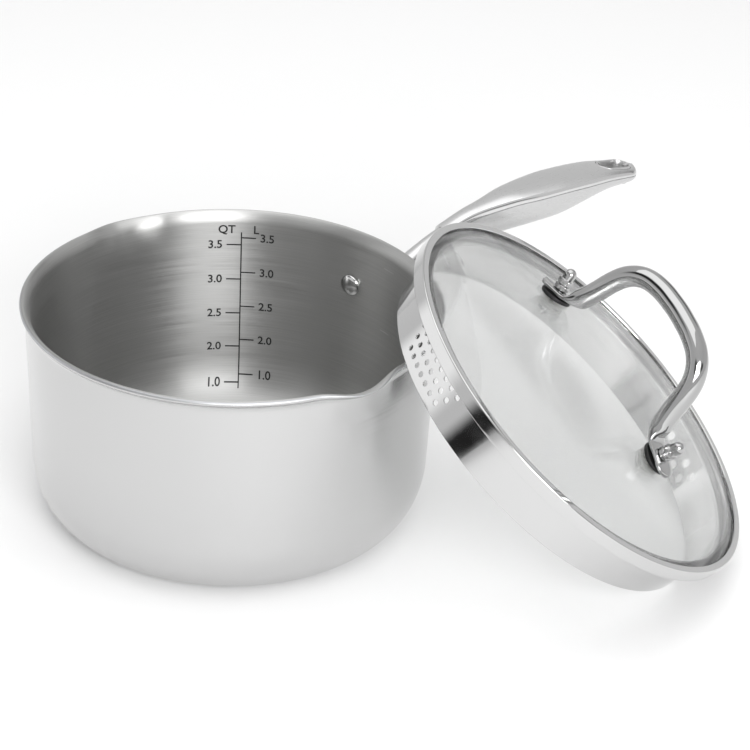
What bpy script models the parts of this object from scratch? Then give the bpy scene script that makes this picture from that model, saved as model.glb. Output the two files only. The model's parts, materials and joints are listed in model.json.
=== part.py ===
"""Clad saucepan with two pouring lips, and a strainer lid of glass leaning on its rim.

Frame: origin at the centre of the pan's flat underside, +Z up, +X out along the pan's handle.
The lid's pieces are modelled in the lid's own frame (centre of the skirt's lower edge, +Z out of
the dome, +X along the bar handle) and hang from one empty that stands where the lid leans.
"""

import bpy
import bmesh
import numpy as np
from math import asin, cos, pi, radians, sin, sqrt
from mathutils import Matrix, Vector

mm = 0.001
OBJECT_NAME = "saucepan_with_glass_lid"

# Clearances
touch_gap = 0.3 * mm            # between pieces that touch
lean_gap = 0.5 * mm             # between the leaning lid and the rim or the floor
skirt_clearance = 0.5 * mm      # lid skirt inside the pan's mouth, on the radius
bolt_clearance = 0.3 * mm       # round screws, rivets and studs, on the radius

# Pan
pan_height = 116 * mm
pan_radius = 102.8 * mm         # outside of the wall just below the lip
wall_taper = 1.4 * mm           # how much narrower the wall is above the bottom corner
corner_height = 30 * mm
corner_width = 21.5 * mm
outer_ply = 0.5 * mm
core_ply = 1.0 * mm
inner_ply = 0.5 * mm
lip_bend_radius = 6.5 * mm      # outside of the flared lip
lip_bend_angle = radians(56)
pan_steps = 56
crowding = 0.35                 # share by which the columns crowd towards the pouring lips
spout_reach = 5.6 * mm
spout_half_angle = radians(14)
spout_height = 23 * mm          # how far down the wall the pouring lip starts to bulge
spout_drop = 2.8 * mm

# Pan handle
bracket_half_angle = radians(21)
bracket_thickness = 2.8 * mm
bracket_drop = 13 * mm          # from the rim down to the bracket's upper edge
bracket_height = 37 * mm
bracket_corner = 12 * mm
rivet_angle = radians(15.4)
rivet_shank = 2.7 * mm          # radius
rivet_head = 6 * mm             # radius
rivet_head_height = 2.6 * mm
rivet_tail = 4.6 * mm           # radius
rivet_tail_height = 2 * mm
handle_root = 32 * mm           # where the hollow handle starts, out from the wall
root_run = 18 * mm              # extra length that is trimmed off at the root
handle_length = 142.5 * mm        # of the hollow handle
handle_wall = 1.3 * mm
edge_depth = 2.2 * mm           # height of the top shell's side
seam_depth = 1.2 * mm           # the seam lies this far under the edge line
hole_length = 23 * mm
hole_width = 13.4 * mm
hole_from_tip = 16 * mm       # centre of the hanging hole, in from the tip
liner_wall = 1.2 * mm
liner_stand = 0.3 * mm

# Lid
sheet = 0.8 * mm
skirt_depth = 22.5 * mm         # from the skirt's lower edge to the flange
flange_width = 9.4 * mm
seal_height = 0.5 * mm          # least height, at the seal's outer edge
glass_drop = 0.6 * mm           # glass edge below the bead's lip
glass_thickness = 3.6 * mm
dome_rise = 17.5 * mm
glass_inset = 3 * mm            # glass edge in from the bead's outside
lip_overlap = 0.8 * mm          # how far the bead's lip reaches over the glass
seal_width = 4.6 * mm
small_hole = 1.5 * mm           # radius
small_pitch = 5.65 * mm
small_row = 5.6 * mm
small_first = 5.7 * mm          # lowest row above the skirt's edge
small_counts = (7, 8, 9)
large_hole = 2.5 * mm           # radius
large_pitch = 9.6 * mm
large_row = 7.3 * mm
large_first = 6.4 * mm
large_counts = (4, 5)
strainer_angle = radians(80)    # small holes' middle, round from the bar handle
lid_steps = 60

# Bar handle and its fixings
stud_reach = 50.5 * mm          # out from the lid's axis
foot_tilt = radians(15)
stud_radius = 2 * mm
gasket_radius = 8.5 * mm
gasket_height = 1.8 * mm
foot_thickness = 2.6 * mm
foot_half_width = 6.6 * mm
foot_length = 11 * mm           # beyond the stud
bar_half_width = 5.6 * mm
bar_half_thickness = 5.3 * mm
bar_height = 51 * mm            # middle of the bar's top over the glass at the studs
bar_shoulder = 35.5 * mm        # half the width between the upright parts
jam_height = 2.6 * mm
nut_wall = 1.5 * mm             # from the stud to the nut's flats
cap_hex_height = 2.8 * mm
cap_wall = 1.1 * mm             # of the cap nut's round end
cap_crown = 1.5 * mm            # solid end of the cap nut over the stud
cap_height = 8.9 * mm
silicone_radius = 7 * mm
silicone_height = 2.3 * mm
washer_radius = 6 * mm
washer_height = 0.8 * mm
screw_head = 4.5 * mm           # radius
screw_head_height = 2.2 * mm
glass_clearance = 1.2 * mm      # hole in the glass round the stud, on the radius

# How the lid leans
lean_share = 0.878              # where the rim crosses the skirt's edge, up from its middle
lid_heading = radians(-46.8)
lid_turn = radians(136.3)       # the bar handle's direction about the lid's axis

# Worked out from the sizes above
wall = outer_ply + core_ply + inner_ply + 2 * touch_gap
bore_radius = pan_radius - wall
skirt_radius = bore_radius - wall_taper / 4 - skirt_clearance
lip_start = pan_height - (lip_bend_radius + wall) * sin(lip_bend_angle)
rim_crest = pan_radius + lip_bend_radius - (lip_bend_radius + wall) * cos(lip_bend_angle)
skirt_edge = skirt_radius - sheet
bead_radius = skirt_radius + flange_width
seal_floor = skirt_depth + sheet + touch_gap
glass_radius = bead_radius - glass_inset
glass_rim_height = seal_floor + seal_height + touch_gap + glass_thickness
bead_top = glass_rim_height + glass_drop + sheet
dome_radius = (glass_radius ** 2 + dome_rise ** 2) / (2 * dome_rise)
handle_start = pan_radius + handle_root
handle_tip = handle_start + handle_length
bracket_high = pan_height - bracket_drop
bracket_low = bracket_high - bracket_height
rivet_height = (bracket_low + bracket_high) / 2
lid_tilt = asin(pan_height / (skirt_radius + lean_share * skirt_edge))


def dome_height(r, offset=0.0):
    """Height of the glass's upper face at radius r, or of a face offset along its normal."""
    centre = glass_rim_height + dome_rise - dome_radius
    return centre + sqrt((dome_radius + offset) ** 2 - r * r)


glass_hole = stud_radius + glass_clearance
nut_flats = 2 * (stud_radius + nut_wall)
cap_radius = stud_radius + cap_wall
stud_base = dome_height(stud_reach)
foot_low = gasket_height + touch_gap
jam_low = foot_low + foot_thickness + touch_gap
cap_low = jam_low + jam_height + touch_gap
thread_length = cap_low + cap_height - cap_crown - bolt_clearance


# ---- scene and object helpers -------------------------------------------------------------

def clear_scene():
    for obj in list(bpy.data.objects):
        bpy.data.objects.remove(obj, do_unlink=True)


def new_collection(name):
    collection = bpy.data.collections.new(name)
    bpy.context.scene.collection.children.link(collection)
    return collection


def make_material(name, colour, roughness, metallic, transmission=0.0):
    material = bpy.data.materials.new(name)
    material.use_nodes = True
    shader = material.node_tree.nodes["Principled BSDF"]
    shader.inputs["Base Color"].default_value = (*colour, 1.0)
    shader.inputs["Roughness"].default_value = roughness
    shader.inputs["Metallic"].default_value = metallic
    shader.inputs["Transmission Weight"].default_value = transmission
    return material


def add_object(name, mesh, collection, material=None, parent=None):
    obj = bpy.data.objects.new(name, mesh)
    collection.objects.link(obj)
    if material is not None:
        mesh.materials.clear()
        mesh.materials.append(material)
    if parent is not None:
        obj.parent = parent
    return obj


def add_cutter(name, mesh, parent=None):
    cutter = add_object(name, mesh, cutters, None, parent)
    cutter.hide_render = True
    cutter.display_type = "WIRE"
    return cutter


def add_frame(name, matrix, parent=None):
    frame = bpy.data.objects.new(name, None)
    parts.objects.link(frame)
    frame.parent = parent
    frame.matrix_basis = matrix
    return frame


def cut(obj, cutter, operation="DIFFERENCE"):
    modifier = obj.modifiers.new(operation.lower(), "BOOLEAN")
    modifier.operation = operation
    modifier.object = cutter
    modifier.solver = "EXACT"
    return modifier


def smooth(obj, angle=35):
    obj.data.shade_smooth()
    obj.data.set_sharp_from_angle(angle=radians(angle))


def profile_mesh(name, points, closed):
    count = len(points)
    edges = [(i, i + 1) for i in range(count - 1)]
    if closed:
        edges.append((count - 1, 0))
    mesh = bpy.data.meshes.new(name)
    mesh.from_pydata([(r, 0.0, z) for r, z in points], edges, [])
    return mesh


def turned(name, points, steps, collection, material=None, parent=None, closed=True):
    """Body of revolution about Z; the points run down the outer side and up the inner one."""
    obj = add_object(name, profile_mesh(name, points, closed), collection, material, parent)
    screw = obj.modifiers.new("turn", "SCREW")
    screw.steps = steps
    screw.render_steps = steps
    screw.use_merge_vertices = True
    screw.merge_threshold = 0.00001
    screw.use_smooth_shade = True
    return obj


def turned_cutter(name, points, steps, parent=None, closed=True):
    cutter = turned(name, points, steps, cutters, None, parent, closed)
    cutter.hide_render = True
    cutter.display_type = "WIRE"
    return cutter


def settle(obj):
    """Replace an object's mesh with what its modifiers make of it."""
    bpy.context.view_layer.update()
    evaluated = obj.evaluated_get(bpy.context.evaluated_depsgraph_get())
    mesh = bpy.data.meshes.new_from_object(evaluated)
    obj.modifiers.clear()
    obj.data = mesh
    return obj


def mesh_from_bmesh(name, bm):
    bmesh.ops.recalc_face_normals(bm, faces=bm.faces[:])
    mesh = bpy.data.meshes.new(name)
    bm.to_mesh(mesh)
    bm.free()
    return mesh


def cylinders_mesh(name, placements, radius, length, segments):
    """Closed cylinders, one for each matrix, along the matrix's Z and centred on it."""
    bm = bmesh.new()
    for matrix in placements:
        bmesh.ops.create_cone(
            bm, cap_ends=True, segments=segments, radius1=radius, radius2=radius,
            depth=length, matrix=matrix,
        )
    return mesh_from_bmesh(name, bm)


def loft_mesh(name, shape, rings, segments):
    """Closed tube with rounded ends: shape(share, angle) gives x, y, z arrays.

    share runs from 0 to 1 along the length, and angle runs round the section.
    """
    bm = bmesh.new()
    turn = Matrix.Rotation(radians(-90), 4, "Y")
    bmesh.ops.create_uvsphere(bm, u_segments=segments, v_segments=rings, radius=1.0, matrix=turn)
    mesh = bpy.data.meshes.new(name)
    bm.to_mesh(mesh)
    bm.free()
    points = np.empty(len(mesh.vertices) * 3)
    mesh.vertices.foreach_get("co", points)
    x, y, z = points.reshape(-1, 3).T
    share = np.arccos(np.clip(-x, -1.0, 1.0)) / pi
    angle = np.where(np.hypot(y, z) < 1e-6, 0.0, np.arctan2(z, y))
    moved = np.stack(shape(share, angle), axis=1)
    mesh.vertices.foreach_set("co", moved.ravel())
    mesh.update()
    bm = bmesh.new()
    bm.from_mesh(mesh)
    bmesh.ops.recalc_face_normals(bm, faces=bm.faces[:])
    bm.to_mesh(mesh)
    bm.free()
    return mesh


def eased(x, knots, reach):
    """Value at x of a line through the knots, with its corners rounded over the reach."""
    positions, values = np.array(knots).T
    offsets = np.linspace(-reach, reach, 7)
    return np.mean([np.interp(x + offset, positions, values) for offset in offsets], axis=0)


def bent(value, power):
    """Signed power, which squares up or slims an ellipse's sine or cosine."""
    return np.sign(value) * np.abs(value) ** power


# ---- pan --------------------------------------------------------------------------------

def wall_radius(z):
    """Outside radius of the straight wall at height z."""
    share = (z - corner_height) / (lip_start - corner_height)
    return pan_radius - wall_taper * (1.0 - share)


def pan_face(depth):
    """Half section of the face that lies this far inside the pan's outer face, rim to centre."""
    corner_radius = pan_radius - wall_taper
    flat_radius = corner_radius - corner_width
    bend_centre = pan_radius + lip_bend_radius
    bend = lip_bend_radius + depth
    points = []
    for angle in np.linspace(lip_bend_angle, 0.0, 4):
        points.append((bend_centre - bend * cos(angle), lip_start + bend * sin(angle)))
    bulge_start = pan_height - spout_height
    for up in ((lip_start + bulge_start) / 2, bulge_start):
        points.append((wall_radius(up) - depth, up))
    for angle in np.linspace(0.0, pi / 2, 5):
        across = flat_radius + corner_width * cos(angle)
        up = corner_height * (1.0 - sin(angle))
        normal = Vector((cos(angle) / corner_width, sin(angle) / corner_height)).normalized()
        points.append((across - depth * normal.x, up + depth * normal.y))
    points.append((0.0, depth))
    return points


def spout_shape(points):
    """Push both pouring lips out and down, and crowd the columns towards them."""
    x, y, z = points.T
    radius = np.hypot(x, y)
    azimuth = np.arctan2(y, x)
    azimuth = azimuth + 0.5 * crowding * np.sin(2.0 * azimuth)
    off = (np.abs(azimuth) - pi / 2) / spout_half_angle
    across = np.where(np.abs(off) < 1.0, np.cos(off * pi / 2) ** 2, 0.0)
    up = np.clip((z - (pan_height - spout_height)) / spout_height, 0.0, 1.0) ** 2
    pushed = radius + spout_reach * across * up
    lowered = z - spout_drop * across * up ** 3
    return np.stack((pushed * np.cos(azimuth), pushed * np.sin(azimuth), lowered), axis=1)


def rivet_frame(side):
    return Matrix.Rotation(side * rivet_angle, 4, "Z") @ Matrix.Translation((0, 0, rivet_height)) \
        @ Matrix.Rotation(radians(90), 4, "Y")


def rivet_holes():
    reach = Matrix.Translation((0, 0, pan_radius))
    placements = [rivet_frame(side) @ reach for side in (-1, 1)]
    radius = rivet_shank + bolt_clearance
    return add_cutter("rivet_holes", cylinders_mesh("rivet_holes", placements, radius, 40 * mm, 12))


def pan_ply(name, start, thickness, material, holes):
    outside = pan_face(start)
    inside = pan_face(start + thickness)
    profile = outside + inside[::-1]
    obj = turned(name, profile, pan_steps, parts, material, closed=False)
    close_rim(obj)
    settle(obj)
    points = np.empty(len(obj.data.vertices) * 3)
    obj.data.vertices.foreach_get("co", points)
    obj.data.vertices.foreach_set("co", spout_shape(points.reshape(-1, 3)).ravel())
    split = obj.modifiers.new("triangles", "TRIANGULATE")
    split.quad_method = "SHORTEST_DIAGONAL"
    cut(obj, holes)
    settle(obj)
    smooth(obj)


def close_rim(obj):
    """Join the two ends of the profile, which both lie on the rim."""
    bm = bmesh.new()
    bm.from_mesh(obj.data)
    bm.verts.ensure_lookup_table()
    bm.edges.new((bm.verts[-1], bm.verts[0]))
    bm.to_mesh(obj.data)
    bm.free()


def make_pan():
    holes = rivet_holes()
    polished = make_material("polished_steel", (0.62, 0.62, 0.62), 0.18, 1.0)
    brushed = make_material("brushed_steel", (0.60, 0.60, 0.60), 0.36, 1.0)
    aluminium = make_material("aluminium_core", (0.78, 0.78, 0.79), 0.40, 1.0)
    pan_ply("pan_outer_ply", 0.0, outer_ply, polished, holes)
    pan_ply("pan_core_ply", outer_ply + touch_gap, core_ply, aluminium, holes)
    pan_ply("pan_inner_ply", outer_ply + core_ply + 2 * touch_gap, inner_ply, brushed, holes)


# ---- pan handle -------------------------------------------------------------------------

def edge_line(x):
    """Height of the handle's edge at x; it rises from the wall, crests and dips to the tip."""
    root = ((0.0, -12.5 * mm), (8 * mm, -9.5 * mm), (18 * mm, -4.0 * mm))
    grip = [(handle_root + reach, height) for reach, height in (
        (0.0, 1.5 * mm), (16 * mm, 6.5 * mm), (46 * mm, 10.6 * mm), (handle_length - 64 * mm, 11.6 * mm),
        (handle_length - 29 * mm, 10.3 * mm), (handle_length - 9 * mm, 7.6 * mm),
        (handle_length, 6.0 * mm))]
    return pan_height + eased(x - pan_radius, [*root, *grip], 6 * mm)


def half_width(x, end=1.0):
    """Half the handle's width at x: a slim root, a broad grip and a round tip."""
    left = np.clip(handle_tip - x, 0.0, None)
    tip_round = 10 * mm
    rounding = np.sqrt(np.clip(1.0 - (1.0 - left / tip_round).clip(0.0) ** 2, 0.0, 1.0))
    knots = ((0.0, 9.4 * mm), (12 * mm, 11.2 * mm), (30 * mm, 12.8 * mm), (45 * mm, 13.5 * mm),
             (65 * mm, 13.5 * mm), (82 * mm, 12.2 * mm), (100 * mm, 9.2 * mm),
             (115 * mm, 6.2 * mm), (130 * mm, 5.0 * mm), (handle_length, 4.8 * mm))
    return eased(left, knots, 5 * mm) * rounding


def bowl_depth(x):
    """How far the lower shell hangs below the seam."""
    left = np.clip(handle_tip - x, 0.0, None)
    knots = ((0.0, 3.4 * mm), (6 * mm, 5.0 * mm), (28 * mm, 8.0 * mm), (62 * mm, 17.5 * mm),
             (96 * mm, 17.5 * mm), (128 * mm, 14.5 * mm), (handle_length, 13 * mm))
    return eased(left, knots, 6 * mm)


def crown_height(x):
    """How far the top shell arches above its sides."""
    left = np.clip(handle_tip - x, 0.0, None)
    knots = ((0.0, 0.8 * mm), (16 * mm, 1.8 * mm), (45 * mm, 2.8 * mm), (100 * mm, 2.6 * mm),
             (handle_length, 1.5 * mm))
    return eased(left, knots, 6 * mm)


def along_handle(share, start, end):
    """Positions that crowd towards the tip, where the outline rounds off."""
    return start + (end - start) * np.sin(share * pi / 2)


def lower_section(wall_in):
    def shape(share, angle):
        x = along_handle(share, handle_start - root_run, handle_tip - 2.5 * wall_in)
        width = np.clip(half_width(x + wall_in) - wall_in, 0.05 * mm, None)
        depth = np.clip(bowl_depth(x) - wall_in, 0.5 * mm, None)
        seam = edge_line(x) - seam_depth - touch_gap
        top = seam + (4 * mm if wall_in else 0.0)
        pole = np.where((share < 1e-6) | (share > 1 - 1e-6), 0.0, 1.0)
        below = seam + depth * bent(np.sin(angle), 0.85)
        return x, width * bent(np.cos(angle), 0.9) * pole, np.where(np.sin(angle) < -1e-6, below, top)
    return shape


def upper_section(wall_in):
    def shape(share, angle):
        x = along_handle(share, handle_start - root_run, handle_tip - 2.5 * wall_in)
        width = np.clip(half_width(x + wall_in) - wall_in, 0.05 * mm, None)
        seam = edge_line(x) - seam_depth
        rise = edge_depth + crown_height(x) - wall_in
        low = seam - (4 * mm if wall_in else 0.0)
        pole = np.where((share < 1e-6) | (share > 1 - 1e-6), 0.0, 1.0)
        above = seam + rise * bent(np.sin(angle), 0.5)
        return x, width * bent(np.cos(angle), 0.9) * pole, np.where(np.sin(angle) > 1e-6, above, low)
    return shape


def stadium_mesh(name, length, width, low, high, segments=8):
    """Upright solid with straight sides and round ends, about the origin, long along X."""
    half = width / 2
    run = length / 2 - half
    outline = []
    for side, start in ((1, -pi / 2), (-1, pi / 2)):
        for angle in np.linspace(start, start + pi, segments):
            outline.append((side * run + half * cos(angle), half * sin(angle)))
    bm = bmesh.new()
    face = bm.faces.new([bm.verts.new((x, y, low)) for x, y in outline])
    grown = bmesh.ops.extrude_face_region(bm, geom=[face])
    lifted = [item for item in grown["geom"] if isinstance(item, bmesh.types.BMVert)]
    bmesh.ops.translate(bm, verts=lifted, vec=(0, 0, high - low))
    return mesh_from_bmesh(name, bm)


def box_cutter(name, low, high, parent=None):
    bm = bmesh.new()
    centre = (Vector(low) + Vector(high)) / 2
    size = Vector(high) - Vector(low)
    matrix = Matrix.Translation(centre) @ Matrix.Diagonal((*size, 1.0))
    bmesh.ops.create_cube(bm, size=1.0, matrix=matrix)
    return add_cutter(name, mesh_from_bmesh(name, bm), parent)


def hole_matrix():
    """Middle of the hanging hole on the seam, square to the seam's slope there."""
    near, middle, far = handle_tip - hole_from_tip + np.array((-0.3, 0.0, 0.3)) * hole_length
    rise = edge_line(far) - edge_line(near)
    slope = np.arctan2(rise, far - near)
    height = edge_line(middle) - seam_depth
    return Matrix.Translation((middle, 0, height)) @ Matrix.Rotation(-slope, 4, "Y")


def make_handle_shells(material):
    outline = hole_length + 2 * touch_gap, hole_width + 2 * touch_gap
    hole = add_cutter("hang_hole", stadium_mesh("hang_hole", *outline, -40 * mm, 40 * mm))
    hole.matrix_basis = hole_matrix()
    far = handle_start - 2 * root_run
    root = box_cutter("handle_root_cut", (far, -30 * mm, 0), (handle_start, 30 * mm, 0.2))
    for name, section in (("handle_lower_shell", lower_section), ("handle_upper_shell", upper_section)):
        obj = add_object(name, loft_mesh(name, section(0.0), 24, 14), parts, material)
        hollow = add_cutter(name + "_hollow", loft_mesh(name + "_hollow", section(handle_wall), 20, 12))
        cut(obj, hollow)
        cut(obj, root)
        cut(obj, hole)
        settle(obj)
        smooth(obj, 40)


def make_liner(material):
    """Tube round the hanging hole, through both shells."""
    hole_at = handle_tip - hole_from_tip
    top = edge_depth + float(crown_height(hole_at)) + liner_stand
    low = -float(bowl_depth(hole_at)) + liner_stand
    bore = hole_length - 2 * liner_wall, hole_width - 2 * liner_wall
    obj = add_object("hang_hole_liner", stadium_mesh("liner", hole_length, hole_width, low, top),
                     parts, material)
    drill = add_cutter("liner_bore", stadium_mesh("liner_bore", *bore, 2 * low, 2 * top))
    obj.matrix_basis = hole_matrix()
    drill.matrix_basis = hole_matrix()
    cut(obj, drill)
    settle(obj)
    smooth(obj, 40)


def saddle_mesh():
    inside_low = wall_radius(bracket_low) + touch_gap
    inside_high = wall_radius(bracket_high) + touch_gap
    bm = bmesh.new()
    columns = 14
    rows = []
    for angle in np.linspace(-bracket_half_angle, bracket_half_angle, columns + 1):
        ring = [(inside_low, bracket_low), (inside_high, bracket_high),
                (inside_high + bracket_thickness, bracket_high),
                (inside_low + bracket_thickness, bracket_low)]
        rows.append([bm.verts.new((r * cos(angle), r * sin(angle), z)) for r, z in ring])
    for row, after in zip(rows, rows[1:]):
        for i in range(4):
            j = (i + 1) % 4
            bm.faces.new((row[i], row[j], after[j], after[i]))
    bm.faces.new(rows[0])
    bm.faces.new(rows[-1])
    return mesh_from_bmesh("handle_bracket", bm)


def saddle_outline():
    """Upright plate with round corners; what it shares with the saddle is kept."""
    half = (pan_radius + bracket_thickness) * sin(bracket_half_angle)
    tall = bracket_height / 2
    outline = []
    for side, up, start in ((1, 1, 0.0), (-1, 1, pi / 2), (-1, -1, pi), (1, -1, 1.5 * pi)):
        for angle in np.linspace(start, start + pi / 2, 5):
            outline.append((side * (half - bracket_corner) + bracket_corner * cos(angle),
                            rivet_height + up * (tall - bracket_corner) + bracket_corner * sin(angle)))
    bm = bmesh.new()
    near = pan_radius * cos(bracket_half_angle) - 10 * mm
    face = bm.faces.new([bm.verts.new((near, y, z)) for y, z in outline])
    grown = bmesh.ops.extrude_face_region(bm, geom=[face])
    lifted = [item for item in grown["geom"] if isinstance(item, bmesh.types.BMVert)]
    bmesh.ops.translate(bm, verts=lifted, vec=(40 * mm, 0, 0))
    return add_cutter("saddle_outline", mesh_from_bmesh("saddle_outline", bm))


def neck_shape(share, angle):
    """Solid neck from the saddle to the hollow handle, flared where it meets the saddle."""
    start = pan_radius + touch_gap + 0.8 * mm
    end = handle_start - touch_gap
    x = start + (end - start) * share
    reach = x - pan_radius
    width_knots = ((0.0, 12 * mm), (4 * mm, 8.5 * mm), (10 * mm, 6.2 * mm), (18 * mm, 5.2 * mm),
                   (handle_root, 4.8 * mm))
    width = eased(reach, width_knots, 1.5 * mm)
    top = edge_line(x) + edge_depth - seam_depth + crown_height(np.full_like(x, handle_start)) * 0.6
    low_end = edge_line(handle_start) - seam_depth - bowl_depth(handle_start)
    low = eased(reach, ((0.0, pan_height - 40 * mm), (5 * mm, pan_height - 33 * mm),
                        (13 * mm, pan_height - 25 * mm), (23 * mm, low_end - 4 * mm),
                        (handle_root, low_end)), 2 * mm)
    pole = np.where((share < 1e-6) | (share > 1 - 1e-6), 0.0, 1.0)
    middle = (top + low) / 2
    tall = (top - low) / 2
    return x, width * bent(np.cos(angle), 0.8) * pole, middle + tall * bent(np.sin(angle), 0.8) * pole


def tenon_shape(share, angle):
    """Tongue of the neck that the hollow handle slides over."""
    x = handle_start - 4 * mm + 14 * mm * share
    pole = np.where((share < 1e-6) | (share > 1 - 1e-6), 0.0, 1.0)
    middle = edge_line(x) - seam_depth - 3.5 * mm
    return (x, 2.6 * mm * bent(np.cos(angle), 0.7) * pole,
            middle + 4.5 * mm * bent(np.sin(angle), 0.7) * pole)


def make_bracket(material, holes):
    obj = add_object("handle_bracket", saddle_mesh(), parts, material)
    cut(obj, saddle_outline(), "INTERSECT")
    cut(obj, add_cutter("neck", loft_mesh("neck", neck_shape, 14, 14)), "UNION")
    cut(obj, add_cutter("tenon", loft_mesh("tenon", tenon_shape, 6, 10)), "UNION")
    cut(obj, holes)
    settle(obj)
    smooth(obj, 40)


def make_rivets(material):
    """Each rivet lies along its own axis: domed head in the pan, flat tail on the bracket."""
    sag = bore_radius * (1 - cos(pi / pan_steps * (1 + crowding)))
    head_sag = bore_radius - sqrt(bore_radius ** 2 - rivet_head ** 2)
    seat = wall_radius(rivet_height) - wall - sag - head_sag - touch_gap
    tail = wall_radius(rivet_height) + bracket_thickness + 2 * touch_gap
    dome = [(rivet_head, seat), (rivet_head, seat - 0.8 * mm), (4.8 * mm, seat - 1.9 * mm),
            (2.6 * mm, seat - rivet_head_height)]
    shank = [(rivet_tail, tail), (rivet_shank, tail), (rivet_shank, seat)]
    top = [(0.0, tail + rivet_tail_height), (rivet_tail - 0.8 * mm, tail + rivet_tail_height),
           (rivet_tail, tail + rivet_tail_height - 0.8 * mm)]
    profile = top + shank + dome + [(0.0, seat - rivet_head_height - 0.2 * mm)]
    for number, side in ((1, -1), (2, 1)):
        obj = turned("handle_rivet_%d" % number, profile, 16, parts, material, closed=False)
        obj.matrix_basis = rivet_frame(side)
        smooth(obj, 40)


def make_pan_handle():
    satin = make_material("satin_steel", (0.66, 0.66, 0.66), 0.30, 1.0)
    bright = make_material("bright_steel", (0.70, 0.70, 0.70), 0.10, 1.0)
    make_bracket(satin, bpy.data.objects["rivet_holes"])
    make_rivets(bright)
    make_handle_shells(satin)
    make_liner(bright)


# ---- lid --------------------------------------------------------------------------------

def lid_matrix():
    """Where the lid leans: its skirt stands on the floor and lies across the pan's rim."""
    up = skirt_radius * sin(lid_tilt) + lean_gap
    half_chord = skirt_edge * sqrt(1 - lean_share ** 2)
    out = skirt_edge * lean_share * cos(lid_tilt) + sqrt(rim_crest ** 2 - half_chord ** 2)
    return Matrix.Rotation(lid_heading, 4, "Z") @ Matrix.Translation((out, 0, up)) \
        @ Matrix.Rotation(lid_tilt, 4, "Y") @ Matrix.Rotation(lid_turn, 4, "Z")


def band_profile():
    """Rolled band: skirt, flange, bead and the lip over the glass, all of one sheet."""
    r, b, s = skirt_radius, bead_radius, sheet
    low, top = skirt_depth, bead_top
    outside = [(b - 3.4 * mm, top), (b - 1.9 * mm, top - 0.2 * mm), (b - 0.6 * mm, top - 1.3 * mm),
               (b, top - 2.9 * mm), (b, low + 2.1 * mm), (b - 0.6 * mm, low + 0.8 * mm),
               (b - 2.0 * mm, low), (r + 2.2 * mm, low - 0.3 * mm), (r + 0.8 * mm, low - 0.9 * mm),
               (r, low - 2.2 * mm), (r, 0.0)]
    inside = [(r - s, 0.0), (r - s, low - 1.8 * mm), (r + 0.1 * mm, low - 0.1 * mm),
              (r + 1.9 * mm, low + 0.5 * mm), (b - 2.3 * mm, low + s), (b - 1.3 * mm, low + 1.4 * mm),
              (b - s, low + 2.4 * mm), (b - s, top - 3.0 * mm), (b - 1.2 * mm, top - 1.7 * mm),
              (b - 2.1 * mm, top - s)]
    lip = bead_radius - glass_inset - lip_overlap
    return [(lip, top)] + outside + inside + [(lip, top - s)]


def hole_rows(first, row_gap, counts, pitch, middle):
    """Places of the strainer holes: each row is staggered by half a pitch on the one below."""
    places = []
    for row, count in enumerate(counts):
        height = first + row * row_gap
        for index in range(count):
            turn = middle + (index - (count - 1) / 2) * pitch / skirt_radius
            places.append(Matrix.Rotation(turn, 4, "Z")
                          @ Matrix.Translation((skirt_radius - sheet / 2, 0, height))
                          @ Matrix.Rotation(radians(90), 4, "Y"))
    return places


def make_band(frame, material):
    obj = turned("lid_band", band_profile(), lid_steps, parts, material, frame)
    small = hole_rows(small_first, small_row, small_counts, small_pitch, strainer_angle)
    large = hole_rows(large_first, large_row, large_counts, large_pitch, strainer_angle + pi)
    for name, places, radius, sides in (("small_holes", small, small_hole, 8),
                                        ("large_holes", large, large_hole, 10)):
        cut(obj, add_cutter(name, cylinders_mesh(name, places, radius, 6 * mm, sides), frame))
    settle(obj)
    smooth(obj, 40)


def dome_points(radius, offset, count, start=0.0):
    return [(r, dome_height(r, offset)) for r in np.linspace(start, radius, count)]


def foot_frames(lid_frame):
    frames = []
    for index in range(2):
        matrix = Matrix.Rotation(pi * index, 4, "Z") \
            @ Matrix.Translation((stud_reach, 0, stud_base)) @ Matrix.Rotation(foot_tilt, 4, "Y")
        frames.append(add_frame("foot_frame_%d" % (index + 1), matrix, lid_frame))
    return frames


def make_glass(frame, feet, material):
    inner = glass_radius - 0.3 * mm
    top = dome_points(inner, 0.0, 6)
    under = dome_points(inner, -glass_thickness, 6)
    edge = [(glass_radius, top[-1][1] - 0.5 * mm), (glass_radius, under[-1][1] + 0.5 * mm)]
    obj = turned("lid_glass", top + edge + under[::-1], 48, parts, material, frame, closed=False)
    for number, foot in enumerate(feet, 1):
        name = "glass_hole_%d" % number
        cut(obj, add_cutter(name, cylinders_mesh(name, [Matrix()], glass_hole, 30 * mm, 14), foot))
    settle(obj)
    smooth(obj, 40)


def make_seal(frame, material):
    outer = glass_radius - 1.0 * mm
    inner = outer - seal_width
    top = [(r, dome_height(r, -glass_thickness) - touch_gap) for r in (outer, inner)]
    profile = [top[0], (outer, seal_floor), (inner, seal_floor), top[1]]
    obj = turned("lid_seal", profile, 48, parts, material, frame)
    smooth(obj, 40)


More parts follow.
